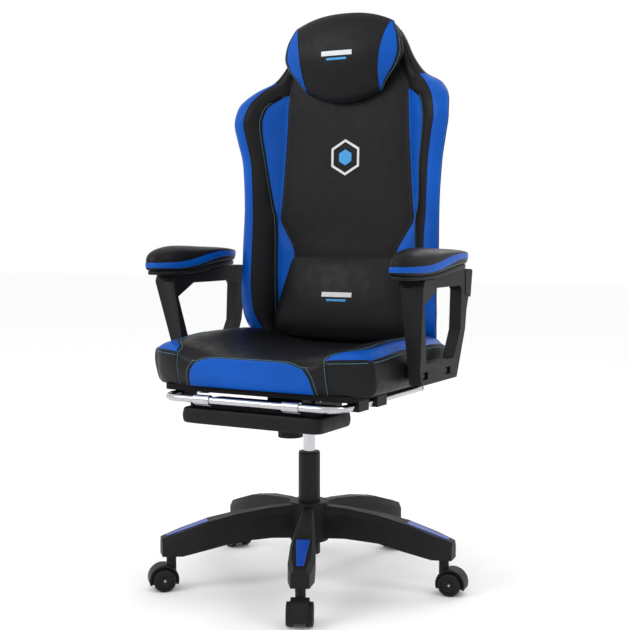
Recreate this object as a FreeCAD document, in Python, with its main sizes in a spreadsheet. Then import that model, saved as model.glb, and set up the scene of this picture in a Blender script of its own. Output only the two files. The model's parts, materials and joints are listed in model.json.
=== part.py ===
import FreeCAD, Part
import math
import os
import re
import Sketcher

# A gaming chair, in millimetres. +Z is up, the sitter faces -Y and the sitter's left is +X.
# The origin is on the floor, under the axis of the gas lift.

Vector = FreeCAD.Vector
Rotation = FreeCAD.Rotation

ARMS = 5

SIZES = {
    "spare": 1,               # a small clearance, or how far a cut runs past a face
    "slope_lead": 4,          # the arm's slope starts this far before its inlay
    "root_overlap": 14,
    "root_deeper": 4,
    "root_higher": 2,
    "arm_neck_reach": 49,     # hub to the arm's narrow neck
    "arm_mid_reach": 129,     # hub to the arm's middle
    "arm_mid_swell": 5,
    "arm_mid_deeper": 2,
    "arm_mid_drop": 9,
    "arm_under_rise": 12,
    "wheel_tread": 6,
    "wheel_boss_inset": 16,
    "stem_seat": 6,
    "rod_clearance": 0.3,
    "slide_gap": 0.1,
    "grip_out": 1.6,
    "post_bevel": 16,
    "bevel_run": 8,
    "gusset_run": 62,
    "gusset_drop": 30,
    "window_ease": 10,
    "window_ease_run": 8,
    "flare_start": 30,
    "flare_end": 12,
    "cap_slope": 6,
    # clearances
    "fit_gap": 0.03,          # radial, between a pin and its hole
    "cover_gap": 0.5,         # between neighbouring parts that slide or turn past each other
    # star base
    "base_radius": 320,       # column axis to caster stem
    "base_turn": 26.34,       # turn of the first arm away from -Y
    "hub_radius": 44,
    "hub_low": 92,
    "hub_top": 182,
    "arm_root_half": 18,
    "arm_wide_half": 28,
    "arm_end_half": 19.5,
    "arm_end_reach": 22,      # arm end past the stem
    "arm_root_low": 104,
    "arm_root_top": 173,
    "arm_mid_top": 152,
    "arm_end_top": 118,
    "arm_under": 78,          # flat underside over the caster
    "arm_edge": 14,           # height of the sloped shoulder
    "arm_shoulder": 7,
    "trim_start": 238,
    "trim_wide_half": 15,
    "trim_end_half": 7.5,
    "trim_thick": 1.6,
    # casters
    "wheel_radius": 25,
    "wheel_inner": 14,        # wheel's inner face from the middle plane
    "wheel_width": 14,
    "wheel_hub_recess": 3,
    "caster_trail": 18,
    "hood_gap": 4,            # between the wheel and its hood
    "hood_wall": 4,
    "hood_rim_half": 19,
    "hood_web_half": 13,
    "hood_low": 14,
    "hood_block_radius": 11,
    "stem_radius": 5.5,
    "stem_low": 44,
    "stem_top": 110,
    "stem_collar_radius": 9,
    "stem_collar": 3,
    "axle_radius": 3,
    # column and gas lift
    "column_radius": 25,
    "column_wall": 2,
    "column_low": 60,
    "column_top": 294,
    "column_floor": 3,
    "bush_length": 60,
    "bush_lip": 3,
    "bearing_thick": 8,
    "bearing_radius": 16,
    "rod_radius": 5,
    "rod_top": 270,
    "rod_collar": 5,
    "piston_thick": 8,
    "cylinder_radius": 14,
    "cylinder_wall": 2,
    "cylinder_low": 155,
    "cylinder_top": 380,
    "cylinder_end": 35,       # solid top end
    "valve_radius": 3,
    "valve_height": 6,
    # tilt mechanism
    "housing_half": 45,
    "housing_front": 110,
    "housing_rear": 75,
    "housing_low": 375,
    "housing_front_top": 436,
    "housing_rear_top": 408,
    "housing_sheet": 2.5,
    "boss_radius": 22,
    "boss_low": 350,
    "boss_above": 4,
    "tilt_back": 45,          # tilt pin ahead of the column axis
    "tilt_height": 425,
    "tilt_pin_radius": 6,
    "knob_back": 85,
    "knob_radius": 28,
    "knob_low": 343,
    "knob_height": 29,
    "knob_wall": 3,
    "knob_grips": 12,
    "grip_groove": 3,
    "stud_radius": 5,
    "stud_top": 428,
    "spring_radius": 20,
    "spring_bore": 9,
    "lever_height": 395,
    "lever_pivot": 30,
    "lever_pin_radius": 3,
    "lever_radius": 5,
    "lever_inner": 8,
    "lever_reach": 236,
    "lever_hub_radius": 7,
    "lever_hub_half": 9,
    "lever_ear": 3,
    "lever_slot_half": 9,
    "grip_end": 300,
    "grip_start": 204,
    "grip_half": 14,
    "grip_thick": 14,
    "grip_round": 5,
    # seat structure
    "plate_low": 450,
    "plate_thick": 4,
    "plate_half": 95,
    "plate_front": 130,
    "plate_rear": 110,
    "ear_thick": 4,
    "ear_half": 17,
    "ear_drop": 40,
    "bolt_radius": 4,
    "bolt_head_radius": 6.5,
    "bolt_head": 5,
    "plate_bolt_x": 75,
    "plate_bolt_front": 105,
    "plate_bolt_rear": 85,
    "board_thick": 12,
    "board_half": 235,
    "board_front": 245,
    "board_rear": 150,
    "board_corner": 25,
    "tube_wall": 1.5,
    "frame_half": 240,
    "frame_bar": 18,
    "frame_front": 205,
    "frame_rear": 135,
    "frame_bar_height": 44,
    "frame_cross_height": 24,
    # seat cushion
    "seat_half": 262,
    "seat_front": 268,
    "seat_rear": 175,
    "seat_top": 548,
    "seat_dish": 14,
    "seat_dish_half": 150,
    "seat_panel_half": 110,
    "seat_side_front": 190,
    "seat_corner_half": 187,
    "seat_corner_back": 20,
    "seat_lip": 30,
    # armrests
    "armrest_inner": 287,
    "armrest_width": 28,
    "armrest_flare": 25,
    "armrest_bolt_height": 495,
    "armrest_bolt_front": 58,
    "armrest_bolt_rear": 63,
    "spacer_radius": 8.5,
    "slot_half": 14,
    "slot_half_height": 8,
    "slot_depth": 12,
    "armrest_low": 475,
    "armrest_beam": 45,
    "post_foot": 77,
    "post_top_front": 126,
    "post_depth": 18,
    "post_foot_depth": 20,
    "rear_foot": 114,
    "rear_knee": 161,
    "rear_knee_height": 580,
    "rear_top": 199,
    "rear_top_height": 714,
    "cap_foot": 189,
    "cap_foot_height": 651,
    "cap_depth": 30,
    "cap_lip": 9,             # the cap stands this far behind the frame below it
    "cap_proud": 1.5,
    "rear_neck": 168,
    "rear_neck_height": 622,
    "window_top": 679,
    "window_rear": 138,
    "window_knee": 133,
    "window_rear_low": 97,
    "tray_front_low": 700,
    "tray_rear_low": 716,
    "tray_thick": 9,
    "tray_inset": 4,
    "pad_inner": 263,
    "pad_width": 90,
    "pad_front": 192,
    "pad_rear": 150,
    "pad_thick": 40,
    "pad_corner": 30,
    # recliner
    "hinge_back": 245,
    "hinge_height": 470,
    "hinge_pin_radius": 8,
    "hinge_eye": 22,
    "hinge_arm_thick": 6,
    "hinge_arm_top": 640,
    "bracket_thick": 6,
    "bracket_drop": 14,
    "bracket_front": 70,
    "bracket_flange": 30,
    "hinge_side_gap": 1,
    "recline_cover_radius": 30,
    "recline_cover_thick": 13,
    "recline_shaft_radius": 5,
    "recline_lever_x": 268,
    "recline_lever_thick": 6,
    "recline_lever_tip": 135,
    "recline_lever_rise": 38,
    "recline_lever_half": 8,
    "recline_grip_length": 45,
    "recline_grip_wall": 3,
    # backrest
    "back_frame_half": 180,
    "back_frame_bar": 20,
    "back_frame_front": 236,
    "back_frame_low": 520,
    "back_frame_top": 1120,
    "back_cross_low": 580,
    "strap_height": 40,
    "strap_thick": 3,
    "strap_pitch": 100,
    "strap_first": 680,
    "back_front": 178,
    "back_rear": 285,
    "back_low": 500,
    "back_top": 1308,
    "back_waist_half": 262,
    "back_shoulder_half": 285,
    "back_shoulder_height": 1065,
    "back_foot_half": 160,
    "head_half": 160,
    "head_low": 1200,
    "bolster_depth": 60,      # bolster crest ahead of the middle panel
    "bolster_crest_half": 230,
    "bolster_inner_half": 190,
    "panel_half": 168,
    "lumbar_top": 745,
    "lumbar_low_half": 166,
    "lumbar_top_half": 138,
    "lumbar_thick": 52,
    "pillow_low": 1092,
    "pillow_top": 1312,
    "pillow_half": 145,
    "pillow_low_half": 80,
    "pillow_thick": 46,
    "patch_half": 25,
    "patch_offset": 60,
    "patch_thick": 1.5,
    # footrest
    "rail_half": 217,
    "rail_radius": 8,
    "rail_height": 441,
    "rail_bend": 40,
    "rail_front": 268,
    "rail_rear": 130,
    "rail_cap": 6,
    "guide_half": 14,
    "guide_length": 45,
    "guide_front": 200,
    "guide_pitch": 85,
    "guide_drop": 24,
    "footrest_half": 172,
    "footrest_front": 262,
    "footrest_rear": 117,
    "footrest_low": 385,
    "footrest_thick": 36,
    "footrest_round": 12,
    "footrest_board_thick": 8,
    "footrest_board_inset": 12,
    "sleeve_wall": 3,
    "sleeve_length": 40,
    "sleeve_offset": 110,
    "sleeve_tab": 24,
}

doc = FreeCAD.newDocument("GamingChair")
sheet = doc.addObject("Spreadsheet::Sheet", "Sizes")
for row, (alias, number) in enumerate(SIZES.items(), 1):
    sheet.set("A%d" % row, alias)
    sheet.set("B%d" % row, str(number))
    sheet.setAlias("B%d" % row, alias)
doc.recompute()

PARTS = []


def formula(words):
    """Turn a formula in the sheet's own names into a FreeCAD expression."""
    def refer(match):
        word = match.group()
        return "Sizes." + word if word in SIZES else word
    return re.sub(r"[a-z][a-z_]*", refer, str(words))


def bind(thing, **properties):
    """Bind properties to formulas; a double underscore stands for a dot."""
    for name, words in properties.items():
        thing.setExpression(name.replace("__", "."), formula(words))
    return thing


def deliver(thing, label):
    """Name a sub-part; the label is also the name of its file."""
    thing.Label = label
    PARTS.append(thing)
    return thing


# ---- solids made from primitives ------------------------------------------------------

TURN_TO = {
    "x": Rotation(Vector(0, 1, 0), 90),
    "y": Rotation(Vector(1, 0, 0), -90),
    "z": Rotation(),
}


def rod(axis, at, radius, low, high, name="rod"):
    """A cylinder along an axis, from low to high; at gives its other two coordinates."""
    thing = doc.addObject("Part::Cylinder", name)
    thing.Placement = FreeCAD.Placement(Vector(), TURN_TO[axis])
    bind(thing, Radius=radius, Height="(%s) - (%s)" % (high, low))
    places = dict(zip([letter for letter in "xyz" if letter != axis], at))
    places[axis] = low
    for letter, words in places.items():
        bind(thing, **{"Placement__Base__" + letter: words})
    return thing


def brick(x, y, z, name="brick"):
    """A box between two formulas on each axis."""
    thing = doc.addObject("Part::Box", name)
    for letter, side, (low, high) in zip("xyz", ("Length", "Width", "Height"), (x, y, z)):
        bind(thing, **{side: "(%s) - (%s)" % (high, low)})
        bind(thing, **{"Placement__Base__" + letter: low})
    return thing


def fuse(*things):
    joined = doc.addObject("Part::MultiFuse", "fused")
    joined.Shapes = list(things)
    joined.Refine = True
    return joined


def cut(base, *tools):
    """Take the tools away from the base."""
    left = doc.addObject("Part::Cut", "cut")
    left.Base = base
    left.Tool = tools[0] if len(tools) == 1 else group(*tools)
    return left


def group(*things):
    """Separate solids that share one node."""
    held = doc.addObject("Part::Compound", "group")
    held.Links = list(things)
    return held


def mirrored(thing):
    """The same piece on the other side of the chair."""
    other = doc.addObject("Part::Mirroring", "mirrored")
    other.Source = thing
    other.Normal = Vector(1, 0, 0)
    return other


def copy_of(thing):
    """A second user of the same solid, for cutting its exact room out of another."""
    twin = doc.addObject("Part::Compound", "copy")
    twin.Links = [thing]
    return twin


# ---- solids made from sketches --------------------------------------------------------

def new_body(name):
    return doc.addObject("PartDesign::Body", name)


def new_sketch(body, plane, offset="0"):
    drawing = body.newObject("Sketcher::SketchObject", "sketch")
    support = [f for f in body.Origin.OriginFeatures if f.Role == plane + "_Plane"][0]
    drawing.AttachmentSupport = [(support, "")]
    drawing.MapMode = "FlatFace"
    # The XZ plane's normal points along -Y; the other two point along + axes.
    sign = "-1" if plane == "XZ" else "1"
    bind(drawing, AttachmentOffset__Base__z="%s * (%s)" % (sign, offset))
    return drawing


def draw_outline(drawing, points):
    """A closed outline of straight runs through points given as formulas."""
    first = drawing.GeometryCount
    guesses = [(number_of(across), number_of(up)) for across, up in points]
    for start, end in zip(guesses, guesses[1:] + guesses[:1]):
        drawing.addGeometry(Part.LineSegment(Vector(*start, 0), Vector(*end, 0)), False)
    for step in range(len(points)):
        following = first + (step + 1) % len(points)
        drawing.addConstraint(Sketcher.Constraint("Coincident", first + step, 2, following, 1))
    for step, (across, up) in enumerate(points):
        add_fixed(drawing, first + step, 1, across, up)


def draw_circle(drawing, across, up, radius):
    centre = Vector(number_of(across), number_of(up), 0)
    circle = Part.Circle(centre, Vector(0, 0, 1), number_of(radius))
    index = drawing.addGeometry(circle, False)
    add_fixed(drawing, index, 3, across, up)
    number = drawing.addConstraint(Sketcher.Constraint("Radius", index, number_of(radius)))
    drawing.setExpression("Constraints[%d]" % number, formula(radius))


def add_fixed(drawing, index, position, across, up):
    for kind, words in (("DistanceX", across), ("DistanceY", up)):
        guess = number_of(words)
        constraint = Sketcher.Constraint(kind, -1, 1, index, position, guess)
        number = drawing.addConstraint(constraint)
        drawing.setExpression("Constraints[%d]" % number, formula(words))


def number_of(words):
    """The present value of a formula, asked of the sheet."""
    return float(sheet.evalExpression(formula(words).replace("Sizes.", "")))


def outline(body, plane, points, offset="0"):
    drawing = new_sketch(body, plane, offset)
    draw_outline(drawing, points)
    return drawing


def circles(body, plane, rounds, offset="0"):
    drawing = new_sketch(body, plane, offset)
    for across, up, radius in rounds:
        draw_circle(drawing, across, up, radius)
    return drawing


def pad(body, plane, drawing, low, high):
    """Raise a drawing made at low up to high, along the plane's world axis."""
    feature = body.newObject("PartDesign::Pad", "pad")
    feature.Profile = drawing
    feature.Reversed = plane == "XZ"
    bind(feature, Length="(%s) - (%s)" % (high, low))
    doc.recompute()
    return feature


def pad_outline(body, plane, points, low, high):
    return pad(body, plane, outline(body, plane, points, low), low, high)


def pad_circles(body, plane, rounds, low, high):
    return pad(body, plane, circles(body, plane, rounds, low), low, high)


def pocket(body, plane, drawing, low, high):
    """Sink a drawing made at low, up to high; it has to take material away."""
    before = body.Shape.Volume
    feature = body.newObject("PartDesign::Pocket", "pocket")
    feature.Profile = drawing
    feature.Reversed = plane != "XZ"
    bind(feature, Length="(%s) - (%s)" % (high, low))
    doc.recompute()
    if not body.Shape.Volume < before - 0.01:
        raise RuntimeError("a pocket in %s takes nothing away" % body.Name)
    return feature


def pocket_outline(body, plane, points, low, high):
    return pocket(body, plane, outline(body, plane, points, low), low, high)


def pocket_circles(body, plane, rounds, low, high):
    return pocket(body, plane, circles(body, plane, rounds, low), low, high)


def rectangle(left, right, low, high):
    return [(left, low), (right, low), (right, high), (left, high)]


def round_edges(body, radius, wanted):
    """Round the edges of the body's last feature that the test picks."""
    doc.recompute()
    base = body.Tip
    names = []
    for number, edge in enumerate(base.Shape.Edges, 1):
        if wanted(edge):
            names.append("Edge%d" % number)
    feature = body.newObject("PartDesign::Fillet", "fillet")
    feature.Base = (base, names)
    bind(feature, Radius=radius)
    doc.recompute()
    return feature


def runs_along(axis):
    """An edge test: straight, and along the axis."""
    def test(edge):
        if len(edge.Vertexes) != 2 or not isinstance(edge.Curve, Part.Line):
            return False
        return abs(edge.tangentAt(edge.FirstParameter).dot(axis)) > 0.999
    return test


# ---- star base and casters ------------------------------------------------------------

def arm_turn(number):
    """Turn that carries an arm drawn along +X to its place."""
    return "base_turn - 90 + %d" % (number * 360 // ARMS)


ARM_SLOPE_START = "(trim_start - slope_lead)"


def slope_top(reach):
    """Height of the arm's sloping top at a distance from the column axis."""
    run = "(base_radius + arm_end_reach - %s)" % ARM_SLOPE_START
    fall = "(arm_mid_top - arm_end_top) / " + run
    return "arm_mid_top - ((%s) - %s) * %s" % (reach, ARM_SLOPE_START, fall)


def star_base():
    body = new_body("StarBase")
    end = "base_radius + arm_end_reach"
    widest = "base_radius - arm_end_reach"
    stations = [
        ("hub_radius - root_overlap", "arm_root_half", "arm_root_low - root_deeper",
         "arm_root_top + root_higher"),
        ("hub_radius + arm_neck_reach", "arm_root_half", "arm_root_low", "arm_root_top"),
        ("hub_radius + arm_mid_reach", "arm_root_half + arm_mid_swell",
         "arm_root_low - arm_mid_deeper", "arm_root_top - arm_mid_drop"),
        (ARM_SLOPE_START, "arm_wide_half - spare", "arm_under + arm_under_rise", "arm_mid_top"),
        (widest, "arm_wide_half", "arm_under", slope_top(widest)),
        (end, "arm_end_half", "arm_under", "arm_end_top"),
    ]
    sections = []
    for reach, half, low, top in stations:
        edge = "%s - arm_edge" % top
        shoulder = "%s - arm_shoulder" % half
        points = [("-(%s)" % half, low), (half, low), (half, edge), (shoulder, top),
                  ("-(%s)" % shoulder, top), ("-(%s)" % half, edge)]
        sections.append(outline(body, "YZ", points, reach))
    doc.recompute()
    arm = body.newObject("PartDesign::AdditiveLoft", "arm")
    arm.Profile = sections[0]
    arm.Sections = sections[1:]
    arm.Ruled = True
    doc.recompute()
    around_column(body, arm)
    pad_circles(body, "XY", [("0", "0", "hub_radius")], "hub_low", "hub_top")
    pocket_circles(body, "XY", [("0", "0", "column_radius + fit_gap")], "hub_low - spare", "hub_top + spare")
    socket = pocket_circles(body, "XY", [("base_radius", "0", "stem_radius + fit_gap")],
                            "arm_under - spare", "stem_top")
    around_column(body, socket)
    bind(body, Placement__Rotation__Angle=arm_turn(0))
    deliver(body, "star_base")


def around_column(body, feature):
    """Repeat a feature for each arm of the base."""
    pattern = body.newObject("PartDesign::PolarPattern", "pattern")
    pattern.Originals = [feature]
    axis = [f for f in body.Origin.OriginFeatures if f.Role == "Z_Axis"][0]
    pattern.Axis = (axis, [""])
    pattern.Angle = 360
    pattern.Occurrences = ARMS
    body.Tip = pattern
    doc.recompute()


def base_trims():
    plates = []
    for number in range(ARMS):
        body = new_body("Trim")
        ends = [("trim_start", "trim_wide_half"),
                ("base_radius + arm_end_reach / 2", "trim_end_half")]
        sections = []
        for reach, half in ends:
            low = slope_top(reach)
            points = rectangle("-" + half, half, low, low + " + trim_thick")
            sections.append(outline(body, "YZ", points, reach))
        doc.recompute()
        plate = body.newObject("PartDesign::AdditiveLoft", "plate")
        plate.Profile = sections[0]
        plate.Sections = sections[1:]
        plate.Ruled = True
        bind(body, Placement__Rotation__Angle=arm_turn(number))
        plates.append(body)
    deliver(group(*plates), "base_trims")


def carry_to_arm(thing, number):
    """Move a caster piece, drawn round its stem and trailing along +X, out to its arm."""
    turn = arm_turn(number)
    bind(thing, Placement__Rotation__Angle=turn,
         Placement__Base__x="base_radius * cos(%s)" % turn_words(turn),
         Placement__Base__y="base_radius * sin(%s)" % turn_words(turn))
    return thing


def turn_words(turn):
    return "(%s) * 1deg" % turn


def caster_stems():
    stems = []
    for number in range(ARMS):
        pin = rod("z", ("0", "0"), "stem_radius", "stem_low", "stem_top")
        collar = rod("z", ("0", "0"), "stem_collar_radius",
                     "arm_under - stem_collar", "arm_under")
        stems.append(carry_to_arm(fuse(pin, collar), number))
    deliver(group(*stems), "caster_stems")


def caster(number):
    axle_at = ("caster_trail", "wheel_radius")
    room = "wheel_radius + hood_gap"
    drum = rod("y", axle_at, room + " + hood_wall", "-hood_rim_half", "hood_rim_half")
    block = rod("z", ("0", "0"), "hood_block_radius",
                "stem_low - stem_seat", "arm_under - stem_collar - cover_gap")
    left_room = rod("y", axle_at, room, "hood_web_half", "hood_rim_half + spare")
    right_room = rod("y", axle_at, room, "-hood_rim_half - spare", "-hood_web_half")
    under = brick(("-40", "80"), ("-40", "40"), ("-20", "hood_low"))
    trimmed_block = cut(block, rod("y", axle_at, room, "hood_web_half", "hood_rim_half + spare"),
                        rod("y", axle_at, room, "-hood_rim_half - spare", "-hood_web_half"))
    shell = cut(fuse(cut(drum, left_room, right_room), trimmed_block), under,
                rod("z", ("0", "0"), "stem_radius + fit_gap", "stem_low", "arm_under"),
                rod("y", axle_at, "axle_radius + fit_gap", "-30", "30"))
    deliver(carry_to_arm(shell, number), "caster_hood_%d" % (number + 1))
    reach = "wheel_inner + wheel_width"
    axle = rod("y", axle_at, "axle_radius", "-(%s) + spare" % reach, "%s - spare" % reach)
    deliver(carry_to_arm(group(axle), number), "caster_axle_%d" % (number + 1))
    wheels = [caster_wheel(axle_at, "wheel_inner", reach, "%s - wheel_hub_recess" % reach,
                           "%s + spare" % reach),
              caster_wheel(axle_at, "-(%s)" % reach, "-wheel_inner", "-(%s) - spare" % reach,
                           "-(%s) + wheel_hub_recess" % reach)]
    deliver(carry_to_arm(group(*wheels), number), "caster_wheels_%d" % (number + 1))


def caster_wheel(axle_at, low, high, recess_low, recess_high):
    """A wheel with a dished outer face and a bore for the axle."""
    tyre = rod("y", axle_at, "wheel_radius", low, high)
    soft = doc.addObject("Part::Fillet", "tyre")
    soft.Base = tyre
    doc.recompute()
    rims = [n for n, edge in enumerate(tyre.Shape.Edges, 1) if edge.isClosed()]
    soft.Edges = [(n, 2.0, 2.0) for n in rims]
    ring = cut(rod("y", axle_at, "wheel_radius - wheel_tread", recess_low, recess_high),
               rod("y", axle_at, "wheel_radius - wheel_boss_inset", recess_low, recess_high))
    return cut(soft, ring, rod("y", axle_at, "axle_radius + fit_gap", low, high))


# ---- column and gas lift --------------------------------------------------------------

def column_and_lift():
    axis = ("0", "0")
    inside = "column_radius - column_wall"
    tube = cut(rod("z", axis, "column_radius", "column_low", "column_top"),
               rod("z", axis, inside, "column_low + column_floor", "column_top + spare"),
               rod("z", axis, "rod_radius + spare", "column_low - spare", "column_top"))
    deliver(tube, "column_tube")
    sleeve = rod("z", axis, inside + " - fit_gap", "column_top - bush_length", "column_top")
    lip = rod("z", axis, "column_radius - spare", "column_top", "column_top + bush_lip")
    bush = cut(fuse(sleeve, lip), rod("z", axis, "cylinder_radius + fit_gap",
                                      "column_top - bush_length - spare", "column_top + bush_lip + spare"))
    deliver(bush, "column_bush")
    shelf = "column_low + column_floor"
    bearing = cut(rod("z", axis, "bearing_radius", shelf, shelf + " + bearing_thick"),
                  rod("z", axis, "rod_radius + rod_clearance", shelf, shelf + " + bearing_thick"))
    deliver(bearing, "thrust_bearing")
    seat = shelf + " + bearing_thick"
    piston = "cylinder_radius - cylinder_wall - slide_gap"
    piston_rod = fuse(rod("z", axis, "rod_radius", "column_low + spare", "rod_top"),
                      rod("z", axis, "bearing_radius - spare", seat, seat + " + rod_collar"),
                      rod("z", axis, piston, "rod_top - piston_thick", "rod_top"))
    deliver(piston_rod, "piston_rod")
    body = rod("z", axis, "cylinder_radius", "cylinder_low", "cylinder_top")
    chamber = rod("z", axis, "cylinder_radius - cylinder_wall",
                  "cylinder_low + piston_thick", "cylinder_top - cylinder_end")
    throat = rod("z", axis, "rod_radius + slide_gap", "cylinder_low - spare", "cylinder_top - cylinder_end")
    valve = rod("z", axis, "valve_radius", "cylinder_top", "cylinder_top + valve_height")
    deliver(fuse(cut(body, chamber, throat), valve), "gas_cylinder")


# ---- tilt mechanism -------------------------------------------------------------------

def mechanism_housing():
    body = new_body("Housing")
    side = [("-housing_front", "housing_low"), ("housing_rear", "housing_low"),
            ("housing_rear", "housing_rear_top"), ("-tilt_back + 35", "housing_front_top"),
            ("-housing_front", "housing_front_top")]
    pad_outline(body, "YZ", side, "-housing_half", "housing_half")
    inner = rectangle("-housing_front + housing_sheet", "housing_rear - housing_sheet",
                      "housing_low + housing_sheet", "housing_front_top + 5")
    pocket_outline(body, "YZ", inner, "-housing_half + housing_sheet", "housing_half - housing_sheet")
    pad_circles(body, "XY", [("0", "0", "boss_radius")], "boss_low", "cylinder_top + boss_above")
    pocket_circles(body, "XY", [("0", "0", "cylinder_radius + fit_gap")], "boss_low - spare",
                   "cylinder_top + boss_above + spare")
    for low, high in (("-lever_hub_half - spare - lever_ear", "-lever_hub_half - spare"),
                      ("lever_hub_half + spare", "lever_hub_half + spare + lever_ear")):
        ear = rectangle("-lever_pivot - 8", "-lever_pivot + 8", "housing_low + spare", "lever_height + 8")
        pad_outline(body, "XZ", ear, low, high)
    pocket_circles(body, "XZ", [("-lever_pivot", "lever_height", "lever_pin_radius + fit_gap")],
                   "-lever_hub_half - 10", "lever_hub_half + 10")
    pocket_circles(body, "YZ", [("-tilt_back", "tilt_height", "tilt_pin_radius + fit_gap")],
                   "-housing_half - spare", "housing_half + spare")
    pocket_circles(body, "XY", [("0", "-knob_back", "stud_radius + fit_gap")], "housing_low - spare",
                   "housing_low + 10")
    slot = rectangle("-lever_slot_half", "lever_slot_half",
                     "lever_height - lever_slot_half", "lever_height + lever_slot_half + 4")
    pocket_outline(body, "YZ", slot, "-housing_half - spare", "-housing_half + housing_sheet + spare")
    deliver(body, "mechanism_housing")
    reach = "housing_half + ear_thick + 6"
    tilt_pin = rod("x", ("-tilt_back", "tilt_height"), "tilt_pin_radius", "-(%s)" % reach, reach)
    ears = "lever_hub_half + spare + lever_ear"
    lever_pin = rod("y", ("-lever_pivot", "lever_height"), "lever_pin_radius",
                    "-(%s)" % ears, ears)
    deliver(group(tilt_pin, lever_pin), "mechanism_pins")


def tension_knob():
    body = new_body("Knob")
    top = "knob_low + knob_height"
    pad_circles(body, "XY", [("0", "-knob_back", "knob_radius")], "knob_low", top)
    pocket_circles(body, "XY", [("0", "-knob_back", "knob_radius - knob_wall")],
                   "knob_low + knob_wall", top + " + spare")
    pad_circles(body, "XY", [("0", "-knob_back", "stud_radius")], "knob_low + spare", "stud_top")
    grips = []
    for number in range(SIZES["knob_grips"]):
        turn = "(%d * 1deg)" % (number * 360 // SIZES["knob_grips"])
        grips.append(("(knob_radius + grip_out) * cos%s" % turn,
                      "-knob_back + (knob_radius + grip_out) * sin%s" % turn, "grip_groove"))
    pocket_circles(body, "XY", grips, "knob_low - spare", top + " - 5")
    deliver(body, "tension_knob")
    low = "knob_low + knob_wall + cover_gap"
    spring = cut(rod("z", ("0", "-knob_back"), "spring_radius", low, "housing_low"),
                 rod("z", ("0", "-knob_back"), "spring_bore", low, "housing_low"))
    deliver(spring, "tension_spring")


def height_lever():
    shaft = rod("x", ("0", "lever_height"), "lever_radius", "-lever_reach", "lever_inner")
    hub = rod("y", ("-lever_pivot", "lever_height"), "lever_hub_radius",
              "-lever_hub_half", "lever_hub_half")
    lever = cut(fuse(shaft, hub), rod("y", ("-lever_pivot", "lever_height"),
                                      "lever_pin_radius + fit_gap",
                                      "-lever_hub_half - spare", "lever_hub_half + spare"))
    deliver(lever, "height_lever_rod")
    body = new_body("Grip")
    low = "lever_height - grip_thick / 2"
    high = "lever_height + grip_thick / 2"
    pad_outline(body, "XZ", rectangle("-grip_end", "-grip_start", low, high),
                "-grip_half", "grip_half")
    round_edges(body, "grip_round", lambda edge: True)
    pocket_circles(body, "YZ", [("0", "lever_height", "lever_radius + fit_gap")],
                   "-lever_reach", "-grip_start + spare")
    deliver(body, "height_lever_grip")


# ---- seat -----------------------------------------------------------------------------

PLATE_TOP = "plate_low + plate_thick"
BOARD_TOP = "plate_low + plate_thick + board_thick"


def plate_bolt_points():
    points = []
    for side in ("-", ""):
        for along in ("-plate_bolt_front", "plate_bolt_rear"):
            points.append((side + "plate_bolt_x", along))
    return points


def seat_structure():
    body = new_body("Plate")
    pad_outline(body, "XY", rectangle("-plate_half", "plate_half", "-plate_front", "plate_rear"),
                "plate_low", PLATE_TOP)
    ear = rectangle("-tilt_back - ear_half", "-tilt_back + ear_half", "plate_low - ear_drop",
                    "plate_low + spare")
    inner = "housing_half + spare"
    outer = "housing_half + spare + ear_thick"
    pad_outline(body, "YZ", ear, "-(%s)" % outer, "-(%s)" % inner)
    pad_outline(body, "YZ", ear, inner, outer)
    pocket_circles(body, "YZ", [("-tilt_back", "tilt_height", "tilt_pin_radius + fit_gap")],
                   "-plate_half", "plate_half")
    holes = [(across, along, "bolt_radius + fit_gap") for across, along in plate_bolt_points()]
    pocket_circles(body, "XY", holes, "plate_low - spare", PLATE_TOP + " + spare")
    deliver(body, "mounting_plate")
    bolts = []
    for at in plate_bolt_points():
        shank = rod("z", at, "bolt_radius", "plate_low", BOARD_TOP + " - spare")
        head = rod("z", at, "bolt_head_radius", "plate_low - bolt_head", "plate_low")
        bolts.append(fuse(shank, head))
    deliver(group(*bolts), "mounting_bolts")
    board = new_body("Board")
    pad_outline(board, "XY", rectangle("-board_half", "board_half", "-board_front", "board_rear"),
                PLATE_TOP, BOARD_TOP)
    round_edges(board, "board_corner", runs_along(Vector(0, 0, 1)))
    pocket_circles(board, "XY", holes, PLATE_TOP + " - spare", BOARD_TOP + " + spare")
    deliver(board, "seat_board")


def seat_frame_bars():
    """The seat frame's four bars, as spans on each axis."""
    inner_x = "frame_half - frame_bar"
    low = BOARD_TOP
    along = ("-frame_front", "frame_rear")
    high = (low, low + " + frame_bar_height")
    across = ("-(%s)" % inner_x, inner_x)
    cross = (low, low + " + frame_cross_height")
    return [(("-frame_half", "-(%s)" % inner_x), along, high),
            ((inner_x, "frame_half"), along, high),
            (across, ("-frame_front", "-frame_front + frame_bar"), cross),
            (across, ("frame_rear - frame_bar", "frame_rear"), cross)]


def solid_bars(bars):
    return fuse(*[brick(*bar) for bar in bars])


def tube_bars(bars):
    """The bars as welded square tube with closed ends."""
    insides = []
    for bar in bars:
        shrunk = [("%s + tube_wall" % low, "%s - tube_wall" % high) for low, high in bar]
        insides.append(brick(*shrunk))
    return cut(solid_bars(bars), *insides)


ARMREST_BOLTS = (("-armrest_bolt_front", "armrest_bolt_height"),
                 ("armrest_bolt_rear", "armrest_bolt_height"))


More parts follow.
